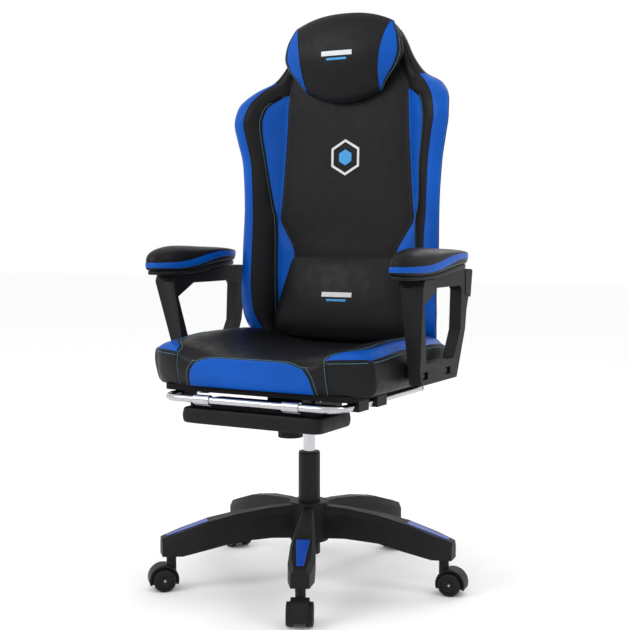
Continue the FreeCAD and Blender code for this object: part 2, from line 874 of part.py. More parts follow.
def seat_frame_and_cushion():
    bars = seat_frame_bars()
    holes = [rod("x", at, "bolt_radius + fit_gap", "-frame_half - spare", "frame_half + spare")
             for at in ARMREST_BOLTS]
    deliver(cut(tube_bars(bars), *holes), "seat_frame")
    body = new_body("SeatCushion")
    plan = [("-seat_half", "seat_rear"), ("-seat_half", "-seat_side_front"),
            ("-seat_corner_half", "-seat_front + seat_corner_back"),
            ("-seat_panel_half", "-seat_front"), ("seat_panel_half", "-seat_front"),
            ("seat_corner_half", "-seat_front + seat_corner_back"),
            ("seat_half", "-seat_side_front"), ("seat_half", "seat_rear")]
    pad_outline(body, "XY", plan, BOARD_TOP, "seat_top")
    dish = [("-seat_dish_half", "seat_top - seat_dish"), ("seat_dish_half", "seat_top - seat_dish"),
            ("seat_corner_half + 20", "seat_top + spare"), ("-seat_corner_half - 20", "seat_top + spare")]
    pocket_outline(body, "XZ", dish, "-seat_front - spare", "seat_rear + spare")
    lip = [("-seat_front - spare", "seat_top - seat_lip"), ("-seat_front + seat_lip", "seat_top + spare"),
           ("-seat_front - spare", "seat_top + spare")]
    pocket_outline(body, "YZ", lip, "-seat_half - spare", "seat_half + spare")
    room = solid_bars(bars)
    bores = []
    for low, high in (("-seat_half - spare", "-frame_half + spare"),
                      ("frame_half - spare", "seat_half + spare")):
        for at in ARMREST_BOLTS:
            bores.append(rod("x", at, "spacer_radius + cover_gap", low, high))
    deliver(cut(body, room, *bores), "seat_cushion")


# ---- armrests -------------------------------------------------------------------------

ARMREST_OUTER = "armrest_inner + armrest_width"


def tray_line(raise_by):
    """The pad tray's S-shaped lower line, from front to rear, raised by a formula."""
    front = "tray_front_low + " + raise_by
    rear = "tray_rear_low + " + raise_by
    return [("-60", front), ("0", "%s + (tray_rear_low - tray_front_low) * 0.25" % front),
            ("60", "%s + (tray_rear_low - tray_front_low) * 0.75" % front), ("pad_rear", rear)]


def armrest_frame():
    body = new_body("ArmrestFrame")
    low = "armrest_low"
    side = [("-post_foot", low), ("rear_foot", low), ("rear_knee", "rear_knee_height"),
            ("rear_neck", "rear_neck_height"),
            ("cap_foot - cap_lip", "cap_foot_height + cap_slope * cap_lip / cap_depth"),
            ("cap_foot - cap_depth", "cap_foot_height + cap_slope"),
            ("cap_foot - cap_depth", "tray_rear_low")]
    side += reversed(tray_line("0"))
    side += [("-post_top_front + bevel_run", "tray_front_low"),
             ("-post_top_front", "tray_front_low - post_bevel")]
    pad_outline(body, "YZ", side, "armrest_inner", ARMREST_OUTER)
    flare = [("armrest_inner + spare", "armrest_low + flare_start"), (ARMREST_OUTER, "armrest_low + flare_start"),
             (ARMREST_OUTER + " + armrest_flare", "tray_front_low - flare_end"),
             (ARMREST_OUTER + " + armrest_flare", "tray_front_low"),
             ("armrest_inner + spare", "tray_front_low")]
    pad_outline(body, "XZ", flare, "-post_top_front + spare", "-post_foot + post_foot_depth")
    window_low = "armrest_low + armrest_beam"
    front = "-post_top_front + post_depth"
    window = [("-post_foot + post_foot_depth", window_low), ("window_rear_low", window_low),
              ("window_knee", "rear_knee_height"), ("window_rear", "window_top - window_ease"),
              ("window_rear - window_ease_run", "window_top"), ("%s + gusset_run" % front, "window_top"),
              (front, "window_top - gusset_drop")]
    pocket_outline(body, "YZ", window, "armrest_inner - spare", ARMREST_OUTER + " + armrest_flare + spare")
    slant = [("-post_top_front - spare", "tray_front_low - post_bevel"),
             ("-post_top_front - spare", low + " - spare"),
             ("-post_foot - 0.2", low + " - spare"), ("-post_foot", low),
             ("-post_top_front", "tray_front_low - post_bevel")]
    pocket_outline(body, "YZ", slant, "armrest_inner - spare", ARMREST_OUTER + " + armrest_flare + spare")
    bevel = [("-post_top_front - spare", "tray_front_low + spare"),
             ("-post_top_front - spare", "tray_front_low - post_bevel - spare"),
             ("-post_top_front", "tray_front_low - post_bevel"),
             ("-post_top_front + bevel_run", "tray_front_low"),
             ("-post_top_front + bevel_run", "tray_front_low + spare")]
    pocket_outline(body, "YZ", bevel, "armrest_inner - spare", ARMREST_OUTER + " + armrest_flare + spare")
    for across, up in ARMREST_BOLTS:
        slot = rectangle("%s - slot_half" % across, "%s + slot_half" % across,
                         "%s - slot_half_height" % up, "%s + slot_half_height" % up)
        pocket_outline(body, "YZ", slot, ARMREST_OUTER + " - slot_depth", ARMREST_OUTER + " + spare")
    holes = [at + ("bolt_radius + fit_gap",) for at in ARMREST_BOLTS]
    pocket_circles(body, "YZ", holes, "armrest_inner - spare", ARMREST_OUTER + " + spare")
    return body


def armrest_cap():
    body = new_body("ArmrestCap")
    side = [("cap_foot - cap_depth", "cap_foot_height + cap_slope"), ("cap_foot", "cap_foot_height"),
            ("rear_top", "rear_top_height - 4"), ("rear_top - 5", "rear_top_height"),
            ("cap_foot - cap_depth", "tray_rear_low")]
    pad_outline(body, "YZ", side, "armrest_inner", ARMREST_OUTER + " + cap_proud")
    return body


def pad_tray():
    body = new_body("PadTray")
    front_low = ("-pad_front + tray_inset", "tray_front_low")
    front_high = ("-pad_front + tray_inset", "tray_front_low + tray_thick")
    side = [front_low] + tray_line("0") + list(reversed(tray_line("tray_thick"))) + [front_high]
    pad_outline(body, "YZ", side, "pad_inner + tray_inset", "pad_inner + pad_width - tray_inset")
    round_edges(body, "pad_corner - tray_inset", pad_corner_edge)
    return body


def arm_pad():
    body = new_body("ArmPad")
    front_low = ("-pad_front", "tray_front_low + tray_thick")
    front_high = ("-pad_front", "tray_front_low + tray_thick + pad_thick - 12")
    crown = ("-pad_front + 16", "tray_front_low + tray_thick + pad_thick - 2")
    side = [front_low] + tray_line("tray_thick") + list(reversed(tray_line("tray_thick + pad_thick")))
    side += [crown, front_high]
    pad_outline(body, "YZ", side, "pad_inner", "pad_inner + pad_width")
    round_edges(body, "pad_corner", pad_corner_edge)
    return body


def pad_corner_edge(edge):
    """The upright edges at the two ends of a pad."""
    if not runs_along_roughly(edge, Vector(0, 0, 1)):
        return False
    middle = edge.CenterOfMass.y
    return middle < -150 or middle > 140


def runs_along_roughly(edge, axis):
    if not isinstance(edge.Curve, Part.Line):
        return False
    return abs(edge.tangentAt(edge.FirstParameter).dot(axis)) > 0.75


def armrests():
    for make, label in ((armrest_frame, "armrest_frame"), (arm_pad, "arm_pad")):
        left = deliver(make(), label + "_left")
        deliver(mirrored(left), label + "_right")
    for make, label in ((armrest_cap, "armrest_caps"), (pad_tray, "arm_pad_trays")):
        left = make()
        deliver(group(left, mirrored(left)), label)
    bolts = []
    spacers = []
    for at in ARMREST_BOLTS:
        head_in = ARMREST_OUTER + " - slot_depth"
        bolt = fuse(rod("x", at, "bolt_radius", "frame_half - frame_bar", head_in),
                    rod("x", at, "bolt_head_radius", head_in, head_in + " + bolt_head + 3"))
        spacer = cut(rod("x", at, "spacer_radius", "frame_half", "armrest_inner"),
                     rod("x", at, "bolt_radius + fit_gap", "frame_half - spare", "armrest_inner + spare"))
        bolts += [bolt, mirrored(bolt)]
        spacers += [spacer, mirrored(spacer)]
    deliver(group(*bolts), "armrest_bolts")
    deliver(group(*spacers), "armrest_spacers")


# ---- recliner -------------------------------------------------------------------------

HINGE = ("hinge_back", "hinge_height")
ARM_OUTER = "back_frame_half + hinge_arm_thick"
BRACKET_INNER = ARM_OUTER + " + hinge_side_gap"
BRACKET_OUTER = BRACKET_INNER + " + bracket_thick"


def recliner():
    bracket = new_body("Bracket")
    side = [("bracket_front", PLATE_TOP + " - bracket_drop"),
            ("hinge_back - 10", PLATE_TOP + " - bracket_drop"), ("hinge_back", "hinge_height"),
            ("hinge_back - hinge_eye", "hinge_height"), ("board_rear + 4", PLATE_TOP),
            ("bracket_front", PLATE_TOP)]
    pad_outline(bracket, "YZ", side, BRACKET_INNER, BRACKET_OUTER)
    pad_circles(bracket, "YZ", [HINGE + ("hinge_eye",)], BRACKET_INNER, BRACKET_OUTER)
    flange = rectangle(BRACKET_INNER + " - bracket_flange", BRACKET_INNER + " + spare",
                       "bracket_front", "board_rear - 5")
    pad_outline(bracket, "XY", flange, PLATE_TOP + " - 4", PLATE_TOP)
    pocket_circles(bracket, "YZ", [HINGE + ("hinge_pin_radius + fit_gap",)],
                   BRACKET_INNER + " - spare", BRACKET_OUTER + " + spare")
    deliver(group(bracket, mirrored(bracket)), "recline_brackets")
    pin = rod("x", HINGE, "hinge_pin_radius", "back_frame_half - 3", BRACKET_OUTER + " + 5")
    deliver(group(pin, mirrored(pin)), "recline_pins")
    cover = cut(rod("x", HINGE, "recline_cover_radius", BRACKET_OUTER,
                    BRACKET_OUTER + " + recline_cover_thick"),
                rod("x", HINGE, "hinge_pin_radius + cover_gap", BRACKET_OUTER,
                    BRACKET_OUTER + " + 5 + cover_gap"),
                rod("x", HINGE, "recline_shaft_radius + fit_gap",
                    BRACKET_OUTER + " + 5", BRACKET_OUTER + " + recline_cover_thick + spare"))
    deliver(group(cover, mirrored(cover)), "recline_covers")
    recline_lever()
    arm = new_body("HingeArm")
    side = [("hinge_back - 14", "hinge_height"), ("hinge_back + 16", "hinge_height"),
            ("back_frame_front + back_frame_bar", "back_frame_low + 20"),
            ("back_frame_front + back_frame_bar", "hinge_arm_top"),
            ("back_frame_front", "hinge_arm_top"), ("back_frame_front", "back_frame_low + 20")]
    pad_outline(arm, "YZ", side, "back_frame_half", ARM_OUTER)
    pad_circles(arm, "YZ", [HINGE + ("hinge_eye",)], "back_frame_half", ARM_OUTER)
    pocket_circles(arm, "YZ", [HINGE + ("hinge_pin_radius + fit_gap",)],
                   "back_frame_half - spare", ARM_OUTER + " + spare")
    arms = group(arm, mirrored(arm))
    deliver(arms, "hinge_arms")
    return arms


def recline_lever():
    """The lever on the sitter's right, beside the seat, that frees the backrest."""
    inner = "recline_lever_x"
    outer = "recline_lever_x + recline_lever_thick"
    body = new_body("ReclineLever")
    rise = "hinge_height + recline_lever_rise"
    arm = [("hinge_back", "hinge_height - recline_lever_half"),
           ("hinge_back", "hinge_height + recline_lever_half"),
           ("recline_lever_tip", rise + " + recline_lever_half"),
           ("recline_lever_tip", rise + " - recline_lever_half")]
    pad_outline(body, "YZ", arm, "-(%s)" % outer, "-(%s)" % inner)
    pad_circles(body, "YZ", [HINGE + ("recline_lever_half + 4",)], "-(%s)" % outer, "-(%s)" % inner)
    start = BRACKET_OUTER + " + 5 + cover_gap"
    pad_circles(body, "YZ", [HINGE + ("recline_shaft_radius",)], "-(%s) - spare" % inner,
                "-(%s)" % start)
    deliver(body, "recline_lever")
    grip = new_body("ReclineGrip")
    tip = "recline_lever_tip"
    slope = "(recline_lever_rise / (hinge_back - recline_lever_tip))"
    back = "recline_lever_tip + recline_grip_length"
    drop = "recline_grip_length * " + slope
    half = "recline_lever_half + recline_grip_wall"
    shape = [(tip + " - 4", "%s + %s" % (rise, half)), (back, "%s - %s + %s" % (rise, drop, half)),
             (back, "%s - %s - (%s)" % (rise, drop, half)), (tip + " - 4", "%s - (%s)" % (rise, half))]
    wall = "recline_grip_wall"
    pad_outline(grip, "YZ", shape, "-(%s) - %s" % (outer, wall), "-(%s) + %s" % (inner, wall))
    deliver(cut(grip, copy_of(body)), "recline_lever_grip")


# ---- backrest -------------------------------------------------------------------------

def back_frame_bars():
    """The backrest frame's four bars, as spans on each axis."""
    depth = ("back_frame_front", "back_frame_front + back_frame_bar")
    inner = "back_frame_half - back_frame_bar"
    height = ("back_frame_low", "back_frame_top")
    bars = [(("-back_frame_half", "-(%s)" % inner), depth, height),
            ((inner, "back_frame_half"), depth, height)]
    for low in ("back_cross_low", "back_frame_top - back_frame_bar"):
        bars.append((("-(%s)" % inner, inner), depth, (low, low + " + back_frame_bar")))
    return bars


def back_straps():
    middle = "back_frame_front + back_frame_bar / 2"
    inner = "back_frame_half - back_frame_bar"
    straps = []
    for number in range(4):
        low = "strap_first + %d * strap_pitch" % number
        straps.append(brick(("-(%s)" % inner, inner), (middle, middle + " + strap_thick"),
                            (low, low + " + strap_height")))
    return group(*straps)


def backrest(arms):
    bars = back_frame_bars()
    deliver(tube_bars(bars), "back_frame")
    straps = deliver(back_straps(), "back_straps")
    body = new_body("BackCushion")
    half = [("back_foot_half", "back_low"), ("back_foot_half + 40", "back_low + 30"),
            ("back_waist_half - 12", "back_low + 100"), ("back_waist_half", "back_low + 150"),
            ("back_waist_half", "back_shoulder_height - 205"),
            ("back_shoulder_half - 7", "back_shoulder_height - 45"),
            ("back_shoulder_half", "back_shoulder_height"),
            ("back_shoulder_half - 12", "back_shoulder_height + 45"),
            ("head_half + 40", "head_low - 38"), ("head_half", "head_low"),
            ("head_half - 10", "back_top - 58"), ("head_half - 40", "back_top - 18"),
            ("head_half - 90", "back_top")]
    left = [("-(%s)" % across, up) for across, up in reversed(half)]
    front = "back_front - bolster_depth"
    pad_outline(body, "XZ", half + left, front, "back_rear")
    hollow = [("panel_half", "back_front"), ("bolster_inner_half", "back_front - 12"),
              ("bolster_crest_half - 6", "%s + 5" % front), ("bolster_crest_half", front + " - spare"),
              ("-bolster_crest_half", front + " - spare"),
              ("-bolster_crest_half + 6", "%s + 5" % front),
              ("-bolster_inner_half", "back_front - 12"), ("-panel_half", "back_front")]
    pocket_outline(body, "XY", hollow, "back_low - spare", "back_top + spare")
    for side in ("", "-"):
        corner = [(side + "bolster_crest_half", front + " - spare"),
                  (side + "(back_waist_half - 4)", front + " + 32"),
                  (side + "(back_shoulder_half + 2)", front + " + 72"),
                  (side + "(back_shoulder_half + 2)", front + " - spare")]
        pocket_outline(body, "XY", corner, "back_low - spare", "back_top + spare")
    # The bolsters start above the seat cushion and clear its rear edge.
    clear = "seat_rear + 6"
    foot = [(front + " - spare", "back_low - spare"), (clear, "back_low - spare"),
            (clear, "seat_top + 6"), (front + " - spare", "seat_top + 76")]
    pocket_outline(body, "YZ", foot, "-back_shoulder_half", "back_shoulder_half")
    rear = "back_rear"
    for side in ("", "-"):
        corner = [(side + "(head_half + 60)", rear + " + spare"),
                  (side + "(back_shoulder_half + 2)", rear + " - 30"),
                  (side + "(back_shoulder_half + 2)", rear + " + spare")]
        pocket_outline(body, "XY", corner, "back_low - spare", "back_top + spare")
    deliver(cut(body, solid_bars(bars), copy_of(straps), copy_of(arms)), "back_cushion")
    lumbar_cushion()
    head_pillow()


# The lumbar cushion rests in the seat's dish.
LUMBAR_LOW = "seat_top - seat_dish / 2"


def lumbar_cushion():
    body = new_body("Lumbar")
    rear = "back_front"
    side = [(rear, LUMBAR_LOW), (rear, "lumbar_top"),
            (rear + " - lumbar_thick * 0.3", "lumbar_top"),
            (rear + " - lumbar_thick", "(%s + lumbar_top) / 2 + 20" % LUMBAR_LOW),
            (rear + " - lumbar_thick", LUMBAR_LOW + " + 40"),
            (rear + " - lumbar_thick * 0.5", LUMBAR_LOW)]
    low, high = "-lumbar_low_half", "lumbar_low_half"
    pad_outline(body, "YZ", side, low, high)
    for hand in ("", "-"):
        corner = [(hand + "lumbar_low_half", LUMBAR_LOW), (hand + "lumbar_top_half", "lumbar_top"),
                  (hand + "lumbar_top_half", "lumbar_top + spare"),
                  (hand + "(lumbar_low_half + 1)", "lumbar_top + spare"),
                  (hand + "(lumbar_low_half + 1)", LUMBAR_LOW)]
        pocket_outline(body, "XZ", corner, rear + " - lumbar_thick - spare", rear + " + spare")
    deliver(body, "lumbar_cushion")


def head_pillow():
    rear = "back_front - patch_thick"
    body = new_body("Pillow")
    half = [("pillow_low_half", "pillow_low"), ("pillow_half - 20", "pillow_low + 45"),
            ("pillow_half", "pillow_low + 105"), ("pillow_half - 8", "pillow_top - 40"),
            ("pillow_half - 35", "pillow_top - 8"), ("pillow_half - 75", "pillow_top")]
    left = [("-(%s)" % across, up) for across, up in reversed(half)]
    pad_outline(body, "XZ", half + left, rear + " - pillow_thick", rear)
    for hand in ("", "-"):
        slope = [(hand + "(pillow_half - 55)", rear + " - pillow_thick - spare"),
                 (hand + "(pillow_half - 55)", rear + " - pillow_thick"),
                 (hand + "(pillow_half + 1)", rear + " - pillow_thick * 0.45"),
                 (hand + "(pillow_half + 1)", rear + " - pillow_thick - spare")]
        pocket_outline(body, "XY", slope, "pillow_low - spare", "pillow_top + spare")
    deliver(body, "head_pillow")
    middle = "(pillow_low + pillow_top) / 2"
    patches = []
    for side in ("-", ""):
        across = side + "patch_offset"
        patches.append(brick((across + " - patch_half", across + " + patch_half"),
                             (rear, "back_front"),
                             (middle + " - patch_half", middle + " + patch_half")))
    deliver(group(*patches), "head_pillow_patches")


# ---- footrest -------------------------------------------------------------------------

def rail_path(body):
    """The middle line of the rail: two sides and the front bar, joined by two bends."""
    drawing = new_sketch(body, "XY", "rail_height")
    inner, bend_end = "(rail_half - rail_bend)", "-rail_front + rail_bend"
    runs = [(("-rail_half", "rail_rear"), ("-rail_half", bend_end)),
            (("-" + inner, "-rail_front"), (inner, "-rail_front")),
            (("rail_half", bend_end), ("rail_half", "rail_rear"))]
    for start, end in runs:
        guesses = [Vector(number_of(across), number_of(along), 0) for across, along in (start, end)]
        index = drawing.addGeometry(Part.LineSegment(*guesses), False)
        add_fixed(drawing, index, 1, *start)
        add_fixed(drawing, index, 2, *end)
    for run, (side, turn) in enumerate((("-", math.pi), ("", 1.5 * math.pi))):
        centre = Vector(number_of(side + inner), number_of(bend_end), 0)
        circle = Part.Circle(centre, Vector(0, 0, 1), number_of("rail_bend"))
        index = drawing.addGeometry(Part.ArcOfCircle(circle, turn, turn + math.pi / 2), False)
        drawing.addConstraint(Sketcher.Constraint("Coincident", index, 1, run, 2))
        drawing.addConstraint(Sketcher.Constraint("Coincident", index, 2, run + 1, 1))
        bound = Sketcher.Constraint("Radius", index, number_of("rail_bend"))
        number = drawing.addConstraint(bound)
        drawing.setExpression("Constraints[%d]" % number, formula("rail_bend"))
    return drawing


def footrest_rails():
    body = new_body("FootrestRails")
    path = rail_path(body)
    for kind, radius in (("Additive", "rail_radius"), ("Subtractive", "rail_radius - tube_wall")):
        end = circles(body, "XZ", [("-rail_half", "rail_height", radius)], "rail_rear")
        doc.recompute()
        pipe = body.newObject("PartDesign::%sPipe" % kind, "pipe")
        pipe.Profile = end
        pipe.Spine = (path, ["Edge%d" % number for number in range(1, path.GeometryCount + 1)])
        doc.recompute()
    deliver(body, "footrest_rails")
    caps = []
    for side in ("-", ""):
        caps.append(rod("y", (side + "rail_half", "rail_height"), "rail_radius",
                        "rail_rear", "rail_rear + rail_cap"))
    deliver(group(*caps), "rail_end_caps")


def rail_guides():
    blocks = []
    for side in ("-", ""):
        for number in range(2):
            front = "-guide_front + %d * guide_pitch" % number
            across = side + "rail_half"
            block = brick((across + " - guide_half", across + " + guide_half"),
                          (front, front + " + guide_length"),
                          (PLATE_TOP + " - guide_drop", PLATE_TOP))
            bore = rod("y", (across, "rail_height"), "rail_radius + fit_gap * 3",
                       front + " - spare", front + " + guide_length + spare")
            blocks.append(cut(block, bore))
    deliver(group(*blocks), "rail_guides")


def footrest():
    top = "footrest_low + footrest_thick"
    board_top = top + " + footrest_board_thick"
    board = new_body("FootrestBoard")
    shape = rectangle("-footrest_half + footrest_board_inset",
                      "footrest_half - footrest_board_inset",
                      "-footrest_front + footrest_board_inset",
                      "-footrest_rear - footrest_board_inset")
    pad_outline(board, "XY", shape, top, board_top)
    round_edges(board, "footrest_round", runs_along(Vector(0, 0, 1)))
    deliver(board, "footrest_board")
    cushion = new_body("FootrestPad")
    pad_outline(cushion, "XY", rectangle("-footrest_half", "footrest_half",
                                         "-footrest_front", "-footrest_rear"),
                "footrest_low", top)
    round_edges(cushion, "footrest_round", lambda edge: edge.CenterOfMass.z < 420)
    deliver(cushion, "footrest_pad")
    hinges = []
    for side in ("-", ""):
        across = side + "sleeve_offset"
        low = across + " - sleeve_length / 2"
        high = across + " + sleeve_length / 2"
        outer = "rail_radius + sleeve_wall"
        ring = rod("x", ("-rail_front", "rail_height"), outer, low, high)
        tab = brick((low, high), ("-rail_front", "-rail_front + sleeve_tab"),
                    (board_top, "rail_height"))
        hole = rod("x", ("-rail_front", "rail_height"), "rail_radius + fit_gap",
                   low + " - spare", high + " + spare")
        hinges.append(cut(fuse(ring, tab), hole))
    deliver(group(*hinges), "footrest_hinges")


# ---- build, check and write -----------------------------------------------------------

star_base()
base_trims()
caster_stems()
for arm_number in range(ARMS):
    caster(arm_number)
column_and_lift()
mechanism_housing()
tension_knob()
height_lever()
seat_structure()
seat_frame_and_cushion()
armrests()
hinge_arms = recliner()
backrest(hinge_arms)
footrest_rails()
rail_guides()
footrest()
doc.recompute()

for thing in doc.Objects:
    if "Invalid" in thing.State or "Error" in thing.State:
        raise RuntimeError("%s (%s) did not compute: %s" % (
            thing.Name, thing.Label, [owner.Label for owner in thing.InListRecursive]))
for part in PARTS:
    if part.Shape.isNull() or not part.Shape.isValid() or not part.Shape.Solids:
        raise RuntimeError("%s has no valid solid" % part.Label)

os.makedirs("parts", exist_ok=True)
for part in PARTS:
    part.Shape.exportStep("parts/%s.step" % part.Label)
    size = part.Shape.BoundBox
    print("%-24s %d solid(s) %9.1f cm3  x %.0f..%.0f  y %.0f..%.0f  z %.0f..%.0f" % (
        part.Label, len(part.Shape.Solids), part.Shape.Volume / 1000,
        size.XMin, size.XMax, size.YMin, size.YMax, size.ZMin, size.ZMax))
print(len(PARTS), "sub-parts")
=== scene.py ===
# %% [markdown]
# A gaming chair is a frame of steel and nylon dressed in leather-look covers. The frame comes in
# first, exact and fixed, and everything made below is placed from it.

# %% Load the chair's frame
import json
import math
import bmesh
import bpy
import numpy as np
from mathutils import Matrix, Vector
from mathutils.bvhtree import BVHTree


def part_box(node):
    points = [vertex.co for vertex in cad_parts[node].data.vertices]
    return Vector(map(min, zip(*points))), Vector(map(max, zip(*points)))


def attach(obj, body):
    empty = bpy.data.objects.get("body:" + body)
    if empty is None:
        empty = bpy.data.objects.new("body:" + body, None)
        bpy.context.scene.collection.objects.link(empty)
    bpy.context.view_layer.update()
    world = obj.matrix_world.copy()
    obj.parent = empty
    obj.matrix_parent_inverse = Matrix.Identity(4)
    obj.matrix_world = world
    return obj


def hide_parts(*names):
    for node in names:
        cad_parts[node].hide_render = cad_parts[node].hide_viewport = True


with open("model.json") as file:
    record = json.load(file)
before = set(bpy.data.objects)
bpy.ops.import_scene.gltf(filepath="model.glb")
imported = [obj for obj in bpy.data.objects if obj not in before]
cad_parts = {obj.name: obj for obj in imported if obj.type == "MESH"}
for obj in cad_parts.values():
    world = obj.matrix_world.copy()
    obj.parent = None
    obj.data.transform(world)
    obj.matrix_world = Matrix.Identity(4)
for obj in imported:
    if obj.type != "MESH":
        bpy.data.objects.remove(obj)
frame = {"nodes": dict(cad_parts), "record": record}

NODES = frame["nodes"]
BODY_OF = {node: body for body, members in frame["record"]["behaviour"]["bodies"].items()
           for node in members}
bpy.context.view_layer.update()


def put(name, data):
    """A new object in the scene, made from a mesh, a lamp's data or a lens."""
    thing = bpy.data.objects.new(name, data)
    bpy.context.scene.collection.objects.link(thing)
    return thing


# %% [markdown]
# A product picture of a chair is taken from a little above seat height with a long lens, so that
# the upright lines stay nearly upright. The camera is aimed by its turn about the upright axis and
# its dip below the horizon.

# %% Camera
CAMERA_PLACE = (1.344, -2.364, 0.808)
CAMERA_DIP = math.radians(4.28)
CAMERA_TURN = math.radians(29.37)

lens = bpy.data.cameras.new("camera")
lens.lens = 68.4
lens.sensor_width = 36.0
lens.shift_y = 0.0036
camera = put("camera", lens)
camera.location = CAMERA_PLACE
camera.rotation_euler = (math.pi / 2 - CAMERA_DIP, 0.0, CAMERA_TURN)
bpy.context.scene.camera = camera
print("camera stands", round(math.dist(CAMERA_PLACE, (0, 0, 0.65)), 2), "m from the chair")

# %% [markdown]
# Black leather-look cover only reads as leather when it has something bright and broad to reflect.
# A white room with two large soft panels gives long gentle highlights and almost no hard shadow.

# %% Floor, room and soft light
def panel_light(name, place, aim, width, height, power):
    """A rectangular soft light at a place, turned to face a point."""
    light = bpy.data.lights.new(name, "AREA")
    light.shape = "RECTANGLE"
    light.size = width
    light.size_y = height
    light.energy = power
    lamp = put(name, light)
    lamp.location = place
    lamp.rotation_euler = (Vector(aim) - Vector(place)).to_track_quat("-Z", "Y").to_euler()


CHAIR_MIDDLE = (0.0, 0.0, 0.75)
panel_light("key_light", (-1.8, -2.6, 2.6), CHAIR_MIDDLE, 1.6, 1.6, 40.0)
panel_light("side_light", (2.6, 0.2, 2.6), CHAIR_MIDDLE, 1.2, 1.6, 14.0)
panel_light("back_light", (0.6, 2.8, 2.6), CHAIR_MIDDLE, 1.8, 1.4, 22.0)

room = bpy.data.worlds.new("room")
room.use_nodes = True
room.node_tree.nodes["Background"].inputs["Color"].default_value = (1.0, 1.0, 1.0, 1.0)
room.node_tree.nodes["Background"].inputs["Strength"].default_value = 1.0
bpy.context.scene.world = room
bpy.context.scene.view_settings.view_transform = "Standard"

FLOOR_HALF = 14.0
floor_mesh = bpy.data.meshes.new("floor")
floor_mesh.from_pydata([(-FLOOR_HALF, -FLOOR_HALF, 0), (FLOOR_HALF, -FLOOR_HALF, 0),
                        (FLOOR_HALF, FLOOR_HALF, 0), (-FLOOR_HALF, FLOOR_HALF, 0)],
                       [], [(0, 1, 2, 3)])
put("floor", floor_mesh)
print("studio: 3 panel lights, white room, floor", 2 * FLOOR_HALF, "m wide")

# %% [markdown]
# A finish is a small network of nodes: what changes over the surface (tone, gloss, relief) comes
# from patterns measured in metres on the piece, and what is the same all over is set straight on
# the shader. This helper lays out the parts that every finish shares.

# %% A helper for finishes
def start_finish(name, roughness, metallic=0.0, specular=0.5):
    """A new material: itself, its shader, a function that adds a node, one that links two
    sockets, and the place on the piece in metres."""
    finish = bpy.data.materials.new(name)
    finish.use_nodes = True
    tree = finish.node_tree
    shader = tree.nodes["Principled BSDF"]
    shader.inputs["Roughness"].default_value = roughness
    shader.inputs["Metallic"].default_value = metallic
    shader.inputs["Specular IOR Level"].default_value = specular

    def add(kind, settings=None, **sockets):
        node = tree.nodes.new(kind)
        for key, value in (settings or {}).items():
            setattr(node, key, value)
        for key, value in sockets.items():
            socket = node.inputs[key.replace("_", " ")]
            if isinstance(value, bpy.types.NodeSocket):
                tree.links.new(value, socket)
            else:
                socket.default_value = value
        return node
    place = add("ShaderNodeTexCoord").outputs["Object"]
    return finish, shader, add, tree.links.new, place


def noise_on(add, place, scale, detail=3.0):
    """A soft noise pattern, scale in repeats a metre."""
    return add("ShaderNodeTexNoise", Vector=place, Scale=scale, Detail=detail).outputs["Fac"]


def spread(add, value, low, high):
    """Stretches a 0..1 pattern to the range low..high, around its usual values."""
    ramp = add("ShaderNodeMapRange", Value=value, From_Min=0.3, From_Max=0.7,
               To_Min=low, To_Max=high)
    return ramp.outputs["Result"]


def tone_between(add, factor, dark, light):
    """A colour that wanders between two tones."""
    mix = add("ShaderNodeMix", {"data_type": "RGBA"}, Factor=factor)
    mix.inputs[6].default_value = (*dark, 1.0)
    mix.inputs[7].default_value = (*light, 1.0)
    return mix.outputs[2]


def relief(add, height, depth, strength=1.0, under=None):
    """A bump that raises the surface by depth metres where height is 1."""
    bump = add("ShaderNodeBump", Height=height, Distance=depth, Strength=strength)
    if under is not None:
        bump.id_data.links.new(under, bump.inputs["Normal"])
    return bump.outputs["Normal"]


# %% [markdown]
# The cover is polyurethane leather-look: a pebbled grain about a millimetre across, faint broad
# creases where it is pulled over the foam, and a sheen that is never quite even. The same recipe
# serves the black and the blue skins.

# %% Leather-look covers and thread
def leather_look(name, dark, light, roughness, grain_depth=0.00012):
    finish, shader, add, link, place = start_finish(name, roughness, specular=0.15)
    broad = noise_on(add, place, 9.0, 4.0)
    creases = noise_on(add, place, 46.0, 2.0)
    pebbles = add("ShaderNodeTexVoronoi", Vector=place, Scale=620.0).outputs["Distance"]
    link(tone_between(add, spread(add, broad, 0.0, 1.0), dark, light), shader.inputs["Base Color"])
    link(spread(add, creases, roughness - 0.05, roughness + 0.07), shader.inputs["Roughness"])
    skin = relief(add, creases, 0.0011, 0.55)
    link(relief(add, pebbles, grain_depth, 0.5, skin), shader.inputs["Normal"])
    return finish


def woven_thread(name, colour):
    finish, shader, add, link, place = start_finish(name, 0.6)
    twist = noise_on(add, place, 900.0, 1.0)
    darker = tuple(channel * 0.6 for channel in colour)
    link(tone_between(add, spread(add, twist, 0.0, 1.0), darker, colour),
         shader.inputs["Base Color"])
    return finish


black_cover = leather_look("black_leather_look", (0.0052, 0.0052, 0.0062),
                           (0.0085, 0.0085, 0.0100), 0.44)
blue_cover = leather_look("blue_leather_look", (0.0, 0.066, 0.36), (0.0, 0.084, 0.45), 0.42)
seat_thread = woven_thread("teal_thread", (0.10, 0.30, 0.36))
dark_thread = woven_thread("dark_thread", (0.030, 0.036, 0.040))
blue_thread = woven_thread("blue_thread", (0.02, 0.16, 0.50))
white_thread = woven_thread("white_embroidery", (0.80, 0.82, 0.84))
sky_thread = woven_thread("light_blue_embroidery", (0.05, 0.36, 0.78))
print("covers:", black_cover.name, blue_cover.name)
